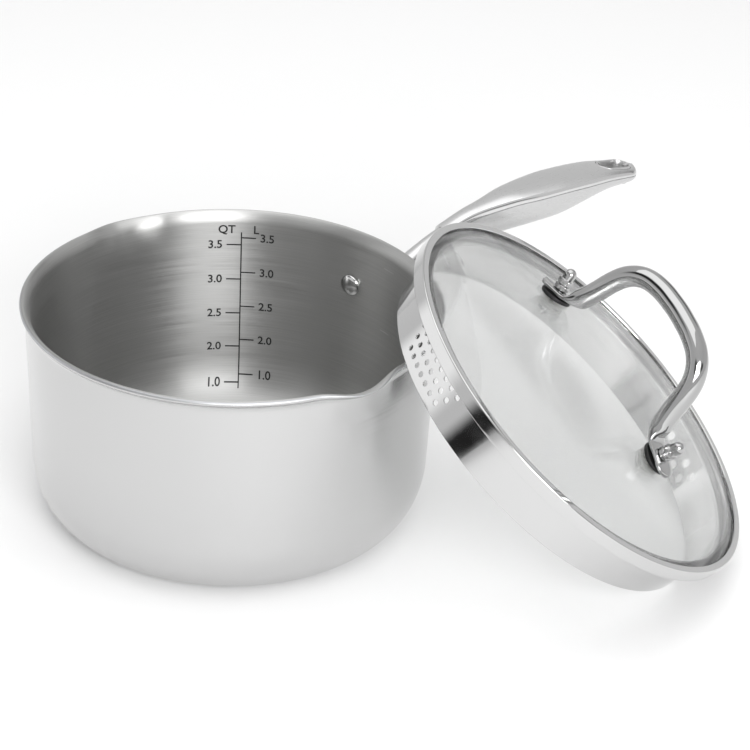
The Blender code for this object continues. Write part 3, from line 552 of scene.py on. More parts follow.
def ontoWall(piece, out):
    # Lay a flat mark on the wall: x runs right along the circle, y up, and z off the steel
    x, y, z = meshArrays(piece.data)[0].T
    radius = innerRadius(y) - scale["lift"] - z
    azimuth = scale["azimuth"] - (x + out) / innerRadius(y)
    piece.data.vertices.foreach_set("co", polar(radius, azimuth, y).ravel())
    piece.data.update()


def bar(name, width, low, high, out):
    # A thin flat bar with rows of points up its height, laid on the wall
    rows = max(2, int((high - low) / mm))
    y = np.linspace(low, high, rows)[:, None]
    half = width / 2
    x = np.array((-half, half, half, -half))
    z = np.array((0, 0, 1, 1)) * scale["thickness"]
    piece = surface(name, grid(x, y, z), False, markInk)
    ontoWall(piece, out)
    return piece


def lettering(name, text, height, out):
    # A plain word or number made a thin mesh, raised to its height and laid on the wall
    curve = bpy.data.curves.new(name, "FONT")
    curve.body = text
    curve.size = scale["textSize"]
    curve.align_x = "CENTER"
    curve.align_y = "CENTER"
    curve.extrude = scale["thickness"] / 2
    curve.resolution_u = scale["letterSteps"]
    curve.offset = scale["letterGrowth"]
    flat = bpy.data.objects.new(name + "Flat", curve)
    bpy.context.scene.collection.objects.link(flat)
    mesh = evaluatedMesh(flat)
    bpy.data.objects.remove(flat, do_unlink=True)
    mesh.transform(Matrix.Translation((0, height, 0)))
    mesh.materials.clear()
    mesh.materials.append(markInk)
    piece = bpy.data.objects.new(name, mesh)
    bpy.context.scene.collection.objects.link(piece)
    ontoWall(piece, out)
    return piece


def joined(name, pieces):
    # One object from several, with their meshes as separate islands
    points, loops, sizes, offset = [], [], [], 0
    material = pieces[0].data.materials[0]
    for piece in pieces:
        spots, corners, counts = meshArrays(piece.data)
        points.append(spots)
        loops.append(corners + offset)
        sizes.append(counts)
        offset += len(spots)
        bpy.data.objects.remove(piece, do_unlink=True)
    made = newPiece(name, np.vstack(points), np.concatenate(loops), np.concatenate(sizes),
                    material)
    made.data.shade_flat()
    return made


def makeScale():
    marks = [bar("line", scale["line"], scale["low"], scale["high"], 0)]
    for side, top in ((1, scale["litreTop"]), (-1, scale["quartTop"])):
        for index, value in enumerate(scale["values"]):
            height = top - index * scale["step"]
            half = scale["line"] / 2
            out = side * (scale["tick"] / 2)
            marks.append(bar("tick", scale["tick"], height - half, height + half, out))
            marks.append(lettering("figure", value, height, side * scale["textOut"]))
    for side, word in ((1, "L"), (-1, "QT")):
        marks.append(lettering("heading", word, scale["headingHeight"],
                               side * scale["headingOut"]))
    piece = joined("etchedScale", marks)
    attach(piece, "pan")
    print("scale made")


makeScale()


handle = dict(
    root=32 * mm, run=18 * mm, length=142.5 * mm, wall=1.3 * mm, edge=2.2 * mm, seam=1.2 * mm,
    gap=0.3 * mm, holeLength=23 * mm, holeWidth=13.4 * mm, holeFromTip=16 * mm,
    linerWall=1.2 * mm, linerStand=0.3 * mm, rows=150, columns=96,
    shoulder=0.8, underside=-0.3,  # upward parts of the normal between which it is polished
    tipRound=10 * mm, hollowOverlap=4 * mm,
    # millimetres from the tip, and the size there
    widthKnots=((0, 9.4), (12, 11.2), (30, 12.8), (45, 13.5), (65, 13.5), (82, 12.2),
                (100, 9.2), (115, 6.2), (130, 5.0), (142.5, 4.8)),
    bowlKnots=((0, 3.4), (6, 5.0), (28, 8.0), (62, 17.5), (96, 17.5), (128, 14.5),
               (142.5, 13)),
    crownKnots=((0, 0.8), (16, 1.8), (45, 2.8), (100, 2.6), (142.5, 1.5)),
    # millimetres from the wall, and the edge's height over the rim; then back from the tip
    rootKnots=((0, -12.5), (8, -9.5), (18, -4.0), (32, 1.5), (48, 6.5), (78, 10.6)),
    tipKnots=((64, 11.6), (29, 10.3), (9, 7.6), (0, 6.0)),
)
handleStart = pan["radius"] + handle["root"]
handleTip = handleStart + handle["length"]


def edgeLine(x):
    # Height of the handle's edge: it rises from the wall, crests and dips to the tip
    end = (handle["root"] + handle["length"]) / mm
    knots = handle["rootKnots"] + tuple((end - back, up) for back, up in handle["tipKnots"])
    return pan["height"] + eased(x - pan["radius"], np.array(knots) * mm, 6 * mm)


def fromTip(x, knots, reach=6 * mm):
    # A size read off its knots by the distance from the tip
    return eased(np.clip(handleTip - x, 0, None), np.array(knots) * mm, reach)


def halfWidth(x):
    # The outline's knots, times a quarter circle that closes it at the tip
    share = np.clip(handleTip - x, 0, None) / handle["tipRound"]
    rounding = np.sqrt(np.clip(1 - (1 - share).clip(0) ** 2, 0, 1))
    return fromTip(x, handle["widthKnots"], 5 * mm) * rounding


def bowlDepth(x):
    return fromTip(x, handle["bowlKnots"])


def crownHeight(x):
    return fromTip(x, handle["crownKnots"])


def shellRows(start, end, section, rows, columns):
    # Sections stood across the handle, crowded towards the tip where the outline rounds off
    share = np.sin(np.linspace(0, 1, rows) * pi / 2)
    x = (start + (end - start) * share)[:, None]
    return grid(*section(x, circle(columns)))


def upperSection(x, angle, inset=0.0):
    # A flat underside on the seam and a crowned top with a small radius at its edge
    width = np.clip(halfWidth(x + inset) - inset, 0.05 * mm, None)
    seam = edgeLine(x) - handle["seam"]
    rise = handle["edge"] + crownHeight(x) - inset
    low = seam - (handle["hollowOverlap"] if inset else 0)
    above = seam + rise * bent(np.sin(angle), 0.62)
    y = width * bent(np.cos(angle), 0.78)
    return x, y, np.where(np.sin(angle) > 1e-6, above, low)


def lowerSection(x, angle, inset=0.0):
    # A flat top on the seam and a half ellipse, squared off a little, for the bowl below it
    width = np.clip(halfWidth(x + inset) - inset, 0.05 * mm, None)
    seam = edgeLine(x) - handle["seam"] - handle["gap"]
    depth = np.clip(bowlDepth(x) - inset, 0.5 * mm, None)
    top = seam + (handle["hollowOverlap"] if inset else 0)
    below = seam + depth * bent(np.sin(angle), 0.85)
    y = width * bent(np.cos(angle), 0.9)
    return x, y, np.where(np.sin(angle) < -1e-6, below, top)


def holePlace():
    # The hanging hole's own frame: on the seam, tilted with the edge line across the hole
    near, middle, far = handleTip - handle["holeFromTip"] \
        + np.array((-0.3, 0, 0.3)) * handle["holeLength"]
    slope = atan2(edgeLine(far) - edgeLine(near), far - near)
    height = float(edgeLine(middle)) - handle["seam"]
    return Matrix.Translation((middle, 0, height)) @ Matrix.Rotation(-slope, 4, "Y")


def stadium(length, width, steps=24):
    # Outline with straight sides and round ends, long along X
    half = width / 2
    run = length / 2 - half
    a = np.linspace(-pi / 2, pi / 2, steps)
    right = np.stack((run + half * np.cos(a), half * np.sin(a)), -1)
    left = -right
    return np.vstack((right, left))


def stadiumTube(name, outlines, heights, matrix, material, closeRows=False):
    # Each outline lifted to its height, one row for each
    rows = np.stack([np.column_stack((outline, np.full(len(outline), height)))
                     for outline, height in zip(outlines, heights)])
    return surface(name, placed(rows, matrix), closeRows, material)


def makeHandle():
    start, end = handleStart, handleTip
    for name, node, section in (("handleTop", "handle_upper_shell", upperSection),
                                ("handleBottom", "handle_lower_shell", lowerSection)):
        rows = shellRows(start - handle["run"], end, section, handle["rows"], handle["columns"])
        piece = surface(name, rows, False, satinSteel)
        hollow = surface(name + "Hollow", shellRows(
            start - handle["run"], end - 2.5 * handle["wall"],
            lambda x, a: section(x, a, handle["wall"]), 70, 40))
        grown = 2 * handle["gap"]
        outline = stadium(handle["holeLength"] + grown, handle["holeWidth"] + grown)
        hole = stadiumTube(name + "Hole", [outline] * 2, (-0.04, 0.04), holePlace(), None)
        root = surface(name + "Root", boxRows((start - 2 * handle["run"], -0.03, 0),
                                              (start, 0.03, 0.2)))
        cutWith(piece, [hollow, root, hole])
        if name == "handleTop":
            polishSides(piece)
        finished(piece, "pan", "satin_handle_steel", node, angle=32)
    makeLiner()
    print("handle made")


def polishSides(piece):
    # The belt only reaches the crown: faces that lean past its shoulder keep the mop's polish
    piece.data.materials.append(brightSteel)
    facing = np.empty(len(piece.data.polygons) * 3)
    piece.data.polygons.foreach_get("normal", facing)
    facing = facing.reshape(-1, 3)
    side = (facing[:, 2] < handle["shoulder"]) & (facing[:, 2] > handle["underside"])
    piece.data.polygons.foreach_set("material_index", side.astype(int))


def boxRows(low, high):
    # A box's lower and upper rectangles as two rows
    x = np.array((low[0], high[0], high[0], low[0]))
    y = np.array((low[1], low[1], high[1], high[1]))
    return np.stack([np.stack((x, y, np.full(4, float(z))), -1) for z in (low[2], high[2])])


def makeLiner():
    # A drawn tube through the hanging hole, its upper lip rolled a little over the top shell
    at = handleTip - handle["holeFromTip"]
    top = handle["edge"] + float(crownHeight(at)) + handle["linerStand"]
    low = -float(bowlDepth(at)) + handle["linerStand"]
    length, width, wall = handle["holeLength"], handle["holeWidth"], handle["linerWall"]
    steps = ((0, top - 0.4 * mm), (0.1 * mm, top - 0.15 * mm),
             (0.35 * mm, top), (wall - 0.5 * mm, top), (wall - 0.15 * mm, top - 0.15 * mm),
             (wall, top - 0.5 * mm), (wall, low + 0.4 * mm), (wall - 0.3 * mm, low),
             (0.3 * mm, low), (0, low + 0.3 * mm))
    outlines = [stadium(length - 2 * inset, width - 2 * inset) for inset, height in steps]
    heights = [height for inset, height in steps]
    piece = stadiumTube("hangingHoleLiner", outlines, heights, holePlace(), satinSteel, True)
    finished(piece, "pan", "bright_steel", "hang_hole_liner", angle=40)


makeHandle()


bracket = dict(
    halfAngle=radians(21), thickness=2.8 * mm, drop=13 * mm, height=37 * mm, corner=12 * mm,
    rivetAngle=radians(15.4), shank=2.7 * mm, head=6 * mm, headHeight=2.6 * mm,
    tail=4.6 * mm, tailHeight=2 * mm, gap=0.3 * mm, plateEdge=0.7 * mm,
    # millimetres from the wall, and the neck's half width there
    neckKnots=((0, 12), (4, 8.5), (10, 6.2), (18, 5.2), (32, 4.8)),
    # millimetres from the wall, and how far the neck's underside is below the rim
    neckDrops=((0, 40), (5, 33), (13, 25)),
    neckSquare=0.8, tongueHalfWidth=2.6 * mm, tongueHalfHeight=4.5 * mm,
)
bracketHigh = pan["height"] - bracket["drop"]
rivetHeight = bracketHigh - bracket["height"] / 2


def saddleRows():
    # The plate is a rounded rectangle shrunk towards its middle in steps, wrapped on the wall:
    # the rows run from the middle of the back face over the edge to the middle of the front
    half = (pan["radius"] + bracket["thickness"]) * sin(bracket["halfAngle"])
    tall = bracket["height"] / 2
    corner = bracket["corner"]
    outline = []
    for side, up, start in ((1, 1, 0), (-1, 1, pi / 2), (-1, -1, pi), (1, -1, 1.5 * pi)):
        a = np.linspace(start, start + pi / 2, 14)
        outline.append(np.stack((side * (half - corner) + corner * np.cos(a),
                                 up * (tall - corner) + corner * np.sin(a)), -1))
    outline = np.vstack(outline)
    thick = bracket["thickness"]
    edge = bracket["plateEdge"]
    bevel = np.linspace(0, pi / 2, 6)
    back = [(share, 0.0) for share in np.linspace(0.08, 0.98, 9)] + [(1.0, 0.15 * mm)]
    front = [(1 - edge / tall * (1 - cos(a)), thick - edge + edge * sin(a)) for a in bevel]
    top = [(share, thick) for share in np.linspace(0.94, 0.08, 9)]
    rows = []
    for share, depth in back + front + top:
        y, up = (outline * share).T
        z = rivetHeight + up
        radius = wallRadius(z) + bracket["gap"] + depth
        azimuth = np.arcsin(y / (pan["radius"] + thick))
        rows.append(polar(radius, azimuth, z))
    return np.array(rows)


def neckRows(rows=70, columns=56):
    # Forged neck: rounded sections from a broad root on the saddle to the slim shell
    start = pan["radius"] + bracket["gap"] + 0.8 * mm
    end = handleStart - bracket["gap"]
    x = np.linspace(start, end, rows)[:, None]
    angle = circle(columns)
    reach = x - pan["radius"]
    width = eased(reach, np.array(bracket["neckKnots"]) * mm, 1.5 * mm)
    top = edgeLine(x) + handle["edge"] - handle["seam"] + crownHeight(handleStart) * 0.6
    lowEnd = float(edgeLine(handleStart) - handle["seam"] - bowlDepth(handleStart))
    knots = [(out * mm, pan["height"] - drop * mm) for out, drop in bracket["neckDrops"]]
    knots += [(23 * mm, lowEnd - 4 * mm), (handle["root"], lowEnd)]
    low = eased(reach, knots, 2 * mm)
    middle, tall = (top + low) / 2, (top - low) / 2
    square = bracket["neckSquare"]
    return grid(x, width * bent(np.cos(angle), square),
                middle + tall * bent(np.sin(angle), square))


def tenonRows():
    # The neck's tongue in the hollow shells: rounded rectangles under the seam
    x = np.linspace(handleStart - 4 * mm, handleStart + 10 * mm, 10)[:, None]
    angle = circle(28)
    middle = edgeLine(x) - handle["seam"] - 3.5 * mm
    return grid(x, bracket["tongueHalfWidth"] * bent(np.cos(angle), 0.7),
                middle + bracket["tongueHalfHeight"] * bent(np.sin(angle), 0.7))


def rivetPlace(side):
    # A rivet's own frame: +Z out through the wall, at its angle to either side of the handle
    return Matrix.Rotation(side * bracket["rivetAngle"], 4, "Z") \
        @ Matrix.Translation((0, 0, rivetHeight)) @ Matrix.Rotation(pi / 2, 4, "Y")


def makeBracket():
    pieces = [surface("saddle", saddleRows(), False, satinSteel),
              surface("neck", neckRows(), False, satinSteel),
              surface("tenon", tenonRows(), False, satinSteel)]
    r = bracket["shank"] + bracket["gap"]
    near, far = pan["radius"] - 0.02, pan["radius"] + 0.02
    pin = [(0, near), (r, near), (r, far), (0, far)]
    cutWith(pieces[0], [turned("hole", pin, rivetPlace(side), 32) for side in (-1, 1)])
    piece = joined("handleBracket", pieces)
    finished(piece, "pan", "satin_handle_steel", "handle_bracket", angle=35)
    wallOut = wallRadius(rivetHeight)
    seat = wallOut - pan["wall"] - 0.2 * mm - (pan["radius"]
                                               - sqrt(pan["radius"] ** 2 - bracket["head"] ** 2))
    tail = wallOut + bracket["thickness"] + 2 * bracket["gap"]
    head, height = bracket["head"], bracket["headHeight"]
    for number, side in ((1, -1), (2, 1)):
        a = np.linspace(0, pi / 2, 18)
        dome = [(head * cos(t), seat - 0.5 * mm - (height - 0.5 * mm) * sin(t)) for t in a]
        end, high = bracket["tail"], tail + bracket["tailHeight"]
        top = [(0, high), (end - 0.8 * mm, high), (end - 0.2 * mm, high - 0.2 * mm),
               (end, high - 0.8 * mm)]
        profile = top + [(end, tail), (bracket["shank"], tail), (bracket["shank"], seat),
                         (head, seat)] + dome
        rivet = turned("rivet%d" % number, profile, rivetPlace(side), 64, brightSteel)
        finished(rivet, "pan", "bright_steel", "handle_rivet_%d" % number, angle=40)
    print("bracket and rivets made")


makeBracket()


lid = dict(
    skirt=99.35 * mm, sheet=0.8 * mm, depth=22.5 * mm, flange=9.4 * mm, glass=3.6 * mm,
    rise=17.5 * mm, glassInset=3 * mm, overlap=0.8 * mm, sealWidth=4.6 * mm, sealHeight=0.5 * mm,
    glassDrop=0.6 * mm, gap=0.3 * mm, steps=240,
    smallHole=1.5 * mm, smallPitch=5.65 * mm, smallRow=5.6 * mm, smallFirst=5.7 * mm,
    smallCounts=(7, 8, 9), largeHole=2.5 * mm, largePitch=9.6 * mm, largeRow=7.3 * mm,
    largeFirst=6.4 * mm, largeCounts=(4, 5), strainer=radians(80),
    drillHalf=3 * mm, flangeBend=2.9 * mm,
)
bead = lid["skirt"] + lid["flange"]
sealFloor = lid["depth"] + lid["sheet"] + lid["gap"]
glassRadius = bead - lid["glassInset"]
glassRim = sealFloor + lid["sealHeight"] + lid["gap"] + lid["glass"]
beadTop = glassRim + lid["glassDrop"] + lid["sheet"]
domeRadius = (glassRadius ** 2 + lid["rise"] ** 2) / (2 * lid["rise"])


def domeHeight(r, offset=0.0):
    # A sphere through the glass's rim and crown; the offset moves its face along the normal
    return glassRim + lid["rise"] - domeRadius + np.sqrt((domeRadius + offset) ** 2 - r * r)


def bandProfile():
    # One sheet from the skirt's edge out along the flange, up round the bead and in to the lip
    r, b, s, low, top = lid["skirt"], bead, lid["sheet"], lid["depth"], beadTop
    lip = bead - lid["glassInset"] - lid["overlap"]
    outside = [(r - s / 2, 0), (r - 0.1 * mm, 0.0), (r, 0.25 * mm), (r, low - 0.4 * mm),
               (r + 0.6 * mm, low - 0.1 * mm),
               (b - 0.2 * mm, low), (b, low + 0.2 * mm), (b, top - 0.4 * mm),
               (b - 0.4 * mm, top), (lip + 0.2 * mm, top), (lip, top - s / 2)]
    outRadii = [0, 0.1 * mm, 0.1 * mm, 2.4 * mm, 0.6 * mm, 2.6 * mm, 2.6 * mm, 3.2 * mm,
                3.2 * mm, 0.25 * mm, 0]
    inside = [(lip, top - s / 2), (lip + 0.2 * mm, top - s), (b - s - 0.3 * mm, top - s),
              (b - s, top - s - 0.4 * mm), (b - s, low + s + 0.3 * mm),
              (b - s - 0.3 * mm, low + s), (r - 0.2 * mm, low + s), (r - s, low + s - 0.5 * mm),
              (r - s, 0.2 * mm), (r - s + 0.15 * mm, 0), (r - s / 2, 0)]
    inRadii = [0, 0.25 * mm, 2.4 * mm, 2.4 * mm, 1.8 * mm, 1.8 * mm, 1.6 * mm, 1.6 * mm,
               0.1 * mm, 0.1 * mm, 0]
    first = rounded(outside, outRadii, 1.1 * mm, 9)
    second = rounded(inside, inRadii, 1.1 * mm, 9)
    return np.vstack((first[:-1], second[:-1]))


def holePlaces(first, rowGap, counts, pitch, middle):
    # Frames for rows of holes in the skirt, each row centred on the middle angle
    places = []
    for row, count in enumerate(counts):
        for index in range(count):
            turn = middle + (index - (count - 1) / 2) * pitch / lid["skirt"]
            places.append(lidMatrix @ Matrix.Rotation(turn, 4, "Z")
                          @ Matrix.Translation((lid["skirt"] - lid["sheet"] / 2, 0,
                                                first + row * rowGap))
                          @ Matrix.Rotation(pi / 2, 4, "Y"))
    return places


def trueNormals(piece):
    # The drilled faces are large and their corners would shade unevenly, so on the skirt each
    # corner of a wall face gets the cylinder's own normal: straight out from the lid's axis
    mesh = piece.data
    smooth(piece)
    normals = np.empty(len(mesh.loops) * 3)
    mesh.corner_normals.foreach_get("vector", normals)
    normals = normals.reshape(-1, 3)
    points, corners, counts = meshArrays(mesh)
    local = placed(points, lidMatrix.inverted())[corners]
    faces = np.empty(len(mesh.polygons) * 3)
    mesh.polygon_normals.foreach_get("vector", faces)
    turn = np.array(lidMatrix.to_3x3())
    faceLocal = np.repeat(faces.reshape(-1, 3) @ turn, counts, axis=0)
    radius = np.hypot(local[:, 0], local[:, 1])
    out = local * (1, 1, 0) / radius[:, None]
    facing = np.einsum("ij,ij->i", faceLocal, out)
    skirt = (local[:, 2] > -mm) & (local[:, 2] < lid["depth"] - lid["flangeBend"])
    skirt &= (radius > lid["skirt"] - 1.2 * mm) & (radius < lid["skirt"] + 0.2 * mm)
    wall = skirt & (np.abs(facing) > 0.97)
    normals[wall] = (out * np.sign(facing)[:, None])[wall] @ turn.T
    mesh.normals_split_custom_set(normals.tolist())


def makeBand():
    band = turned("lidBand", bandProfile(), lidMatrix, lid["steps"], lidSteel, True)
    small = holePlaces(lid["smallFirst"], lid["smallRow"], lid["smallCounts"],
                       lid["smallPitch"], lid["strainer"])
    large = holePlaces(lid["largeFirst"], lid["largeRow"], lid["largeCounts"],
                       lid["largePitch"], lid["strainer"] + pi)
    drills, half = [], lid["drillHalf"]
    for places, radius in ((small, lid["smallHole"]), (large, lid["largeHole"])):
        pin = [(0, -half), (radius, -half), (radius, half), (0, half)]
        drills.append(joined("drills", [turned("drill", pin, place, 28, lidSteel)
                                        for place in places]))
    cutWith(band, drills)
    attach(band, "lid")
    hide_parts("lid_band")
    trueNormals(band)


def makeGlass():
    inner = glassRadius - 0.5 * mm
    r = np.linspace(0, inner, 60)
    top = np.stack((r, domeHeight(r)), -1)
    under = np.stack((r, domeHeight(r, -lid["glass"])), -1)[::-1]
    edge = rounded([top[-1], (glassRadius, top[-1][1] - 0.5 * mm),
                    (glassRadius, under[0][1] + 0.5 * mm), under[0]], 0.5 * mm, 0.4 * mm, 5)
    profile = np.vstack((top, edge[1:-1], under))
    pane = turned("lidGlass", profile, lidMatrix, 200, glass)
    finished(pane, "lid", "tempered_glass", "lid_glass", angle=50)
    outer = glassRadius - 1 * mm
    inside = outer - lid["sealWidth"]
    roof = [(r, domeHeight(r, -lid["glass"]) - lid["gap"] * 0.3) for r in (outer, inside)]
    lipped = rounded([(inside + 2 * mm, sealFloor - 0.2 * mm), (outer, sealFloor - 0.2 * mm),
                      roof[0], roof[1], (inside, sealFloor - 0.2 * mm),
                      (inside + 2 * mm, sealFloor - 0.2 * mm)], 0.3 * mm, 0.8 * mm, 5)
    ring = turned("glassSeal", lipped[:-1], lidMatrix, 160, blackSilicone, True)
    finished(ring, "lid_carrier", "black_silicone", "lid_seal", angle=50)


makeBand()
makeGlass()
print("lid made")


barHandle = dict(
    reach=50.5 * mm, tilt=radians(15), stud=2 * mm, gasket=8.5 * mm, gasketHeight=1.8 * mm,
    foot=2.6 * mm, footHalf=6.6 * mm, footLength=11 * mm, halfWidth=5.6 * mm,
    halfThick=5.3 * mm, height=51 * mm, shoulder=35.5 * mm, jamHeight=2.6 * mm,
    flats=7 * mm, capHex=2.8 * mm, capRadius=3.1 * mm, capHeight=8.9 * mm, gap=0.3 * mm,
    rows=260, columns=48,
    # millimetres: out from the shoulder and over the stud's foot, then in and under the top
    legKnots=((4.2, 11), (2.0, 19)),
    archKnots=((0, 21), (2.4, 13.5), (7.2, 7.2), (13.5, 3.2), (23, 0.8)),
)
studBase = float(domeHeight(barHandle["reach"]))
footLow = barHandle["gasketHeight"] + barHandle["gap"]
jamLow = footLow + barHandle["foot"] + barHandle["gap"]
capLow = jamLow + barHandle["jamHeight"] + barHandle["gap"]


def barPath():
    # Middle line of half the bar, from the foot's end up to the middle of the top
    b = barHandle
    middle = footLow + b["foot"] / 2
    base = np.array((b["reach"] + middle * sin(b["tilt"]), studBase + middle * cos(b["tilt"])))
    along = np.array((cos(b["tilt"]), -sin(b["tilt"])))
    top = studBase + b["height"]
    s = b["shoulder"]
    leg = [(s + out * mm, studBase + up * mm) for out, up in b["legKnots"]]
    arch = [(s - back * mm, top - down * mm) for back, down in b["archKnots"]]
    return np.vstack((base + along * b["footLength"], base, base - along * 8.5 * mm,
                      leg, arch, [(0, top)]))


def easedPath(at, lengths, values):
    # Place along a path of straight runs with its corners rounded, but not its two ends
    reach = np.minimum(4.5 * mm, np.minimum(at, lengths[-1] - at))
    steps = np.linspace(-1, 1, 25)
    weights = 1 - np.abs(steps) * 0.6
    total = sum(w * np.interp(at + step * reach, lengths, values)
                for w, step in zip(weights, steps))
    return total / weights.sum()


def barRows():
    # The section is carried along the path: flat under the nuts, oval in the grip, round ends
    b = barHandle
    half = barPath()
    path = np.vstack((half, (half * (-1, 1))[-2::-1]))
    lengths = np.concatenate(((0,), np.cumsum(np.hypot(*np.diff(path, axis=0).T))))
    total = lengths[-1]
    share = np.linspace(0, 1, b["rows"])
    at = total * (share - 0.06 * np.sin(2 * pi * share) * 0.9)
    at[0], at[-1] = 0.02 * mm, total - 0.02 * mm
    at = at[:, None]
    angle = circle(b["columns"])
    x = easedPath(at, lengths, path[:, 0])
    z = easedPath(at, lengths, path[:, 1])
    ahead, behind = np.minimum(at + 0.8 * mm, total), np.maximum(at - 0.8 * mm, 0)
    dx = easedPath(ahead, lengths, path[:, 0]) - easedPath(behind, lengths, path[:, 0])
    dz = easedPath(ahead, lengths, path[:, 1]) - easedPath(behind, lengths, path[:, 1])
    size = np.hypot(dx, dz)
    nx, nz = -dz / size, dx / size
    fromEnd = np.minimum(at, total - at)
    blend = np.clip((fromEnd - b["footLength"] - 7 * mm) / (9 * mm), 0, 1)
    blend = blend * blend * (3 - 2 * blend)
    thick = b["foot"] / 2 + (b["halfThick"] - b["foot"] / 2) * blend
    wide = b["footHalf"] + (b["halfWidth"] - b["footHalf"]) * blend
    roundEnd = np.clip(1 - fromEnd / b["footHalf"], 0, 1)
    wide = wide * np.sqrt(np.clip(1 - roundEnd ** 2, 0.0004, 1))
    power = 0.45 + 0.5 * blend
    lift = -thick * bent(np.sin(angle), power)
    side = wide * bent(np.cos(angle), 0.8 + 0.2 * blend)
    return grid(x + nx * lift, side, z + nz * lift)


def footPlace(index):
    # A foot's own frame: on the dome at the stud, with +Z along the screw
    return lidMatrix @ Matrix.Rotation(pi * index, 4, "Z") \
        @ Matrix.Translation((barHandle["reach"], 0, studBase)) \
        @ Matrix.Rotation(barHandle["tilt"], 4, "Y")


def hexNut(name, rows, matrix, material):
    # Each row is a height, a hexagon's half width across flats, and a round limit: the outline
    # is the hexagon where that is smaller and the circle where the chamfer has cut it
    angle = circle(96)
    turn = (angle + pi / 6) % (pi / 3) - pi / 6
    hexagon = 1 / np.cos(turn)
    height, flat, limit = np.array(rows).T[:, :, None]
    points = polar(np.minimum(flat * hexagon, limit), angle, height)
    return surface(name, placed(points, matrix), False, material)


def makeFixings(index):
    b = barHandle
    place = footPlace(index)
    number = index + 1
    bore = b["stud"] + 0.3 * mm
    lowest = -0.25 * mm
    outer = b["gasket"]
    gasket = turned("footGasket%d" % number, rounded(
        [(bore + 3 * mm, b["gasketHeight"]), (outer, b["gasketHeight"]), (outer, lowest),
         (bore, lowest), (bore, b["gasketHeight"]), (bore + 3 * mm, b["gasketHeight"])],
        [0, 0.7 * mm, 0.3 * mm, 0.1 * mm, 0.2 * mm, 0], 0.8 * mm, 7)[:-1],
        place, 96, blackSilicone, True)
    finished(gasket, "lid", "black_silicone", "foot_gasket_%d" % number, angle=50)
    flat = b["flats"] / 2
    corner = flat / cos(pi / 6)
    low, high = jamLow, jamLow + b["jamHeight"]
    chamfer = 0.5 * mm
    jamRows = [(low, flat, flat * 0.5), (low, flat, flat), (low + chamfer * 0.5, flat, corner),
               (high - chamfer, flat, corner), (high - chamfer * 0.5, flat, corner * 0.955),
               (high, flat, flat * 0.97), (high, flat, flat * 0.5)]
    jam = hexNut("jamNut%d" % number, jamRows, place, lidChrome)
    finished(jam, "lid", "lid_chrome", "jam_nut_%d" % number, angle=25)
    low = capLow
    high = low + b["capHex"]
    r = b["capRadius"]
    top = low + b["capHeight"]
    capRows = [(low, flat, flat * 0.5), (low, flat, flat), (low + chamfer * 0.5, flat, corner),
               (high - chamfer, flat, corner), (high - chamfer * 0.4, flat, corner * 0.95),
               (high, flat, flat * 0.97), (high + 0.02 * mm, flat, r + 0.25 * mm),
               (high + 0.25 * mm, flat, r)]
    capRows += [(z, flat, r) for z in np.linspace(high + 0.6 * mm, top - r, 6)]
    capRows += [(top - r + r * sin(a), flat, r * cos(a)) for a in np.linspace(0.08, 1.5, 16)]
    cap = hexNut("capNut%d" % number, capRows, place, lidChrome)
    finished(cap, "lid", "lid_chrome", "cap_nut_%d" % number, angle=25)
    for node, material in (("glass_washer", clearSilicone), ("steel_washer", screwSteel),
                           ("stud_screw", screwSteel)):
        fixing = frame["nodes"]["%s_%d" % (node, number)]
        fixing.data.materials.clear()
        fixing.data.materials.append(material)


def makeBar():
    rows = placed(barRows(), lidMatrix)
    bar = surface("lidBarHandle", rows, False, lidChrome)
    r = barHandle["stud"] + 0.3 * mm
    drills = [turned("drill", [(0, 0), (r, 0), (r, 8 * mm), (0, 8 * mm)], footPlace(i), 32)
              for i in range(2)]
    cutWith(bar, drills)
    finished(bar, "lid", "lid_chrome", "lid_bar_handle", angle=35)
    for index in range(2):
        makeFixings(index)
    print("bar handle made")


makeBar()


studio = dict(
    lens=96.0, sensor=36.0, eye=(-0.51335, -0.72456, 0.57199), look=(0.5606, 0.6681, -0.4892),
    roll=radians(3.34), floor="#f0f0f0", paperRough=(0.62, 0.78), paperRun=50 / 3 * mm,
    skyStrength=0.86,
    skyBands=((0.0, "#f4f4f4"), (0.5, "#ececec"), (1.0, "#ffffff")),
    floorReach=6.0, overhead=dict(place=(0.1, 0.1, 1.6), target=(0.1, 0, 0),
                                  size=(1.8, 1.8), power=10),
    keyBox=dict(place=(-0.72, -1.8, 1.0), target=(0, 0, 0.05), size=(1.35, 0.8), power=35),
    cards=(  # azimuth, height, half width, half height, depth and hard middle of each
        (radians(176), 0.05, 0.29, 0.13, 0.97, 0.3),
        (radians(12), 0.36, 0.34, 0.15, 0.92, 0.5),
        (radians(-75), 0.30, 0.26, 0.14, 0.9, 0.5),
        (radians(-150), 0.52, 0.35, 0.14, 0.9, 0.5),
        (radians(150), 0.66, 0.46, 0.26, 0.95, 0.5),
        (radians(130), 0.17, 0.50, 0.22, -0.7, 0.6),
    ),
)


def areaLight(name, place, target, size, power):
    data = bpy.data.lights.new(name, "AREA")
    data.shape = "RECTANGLE"
    data.size, data.size_y = size
    data.energy = power
    light = bpy.data.objects.new(name, data)
    light.location = place
    light.rotation_mode = "QUATERNION"
    light.rotation_quaternion = (Vector(target) - Vector(place)).to_track_quat("-Z", "Y")
    bpy.context.scene.collection.objects.link(light)


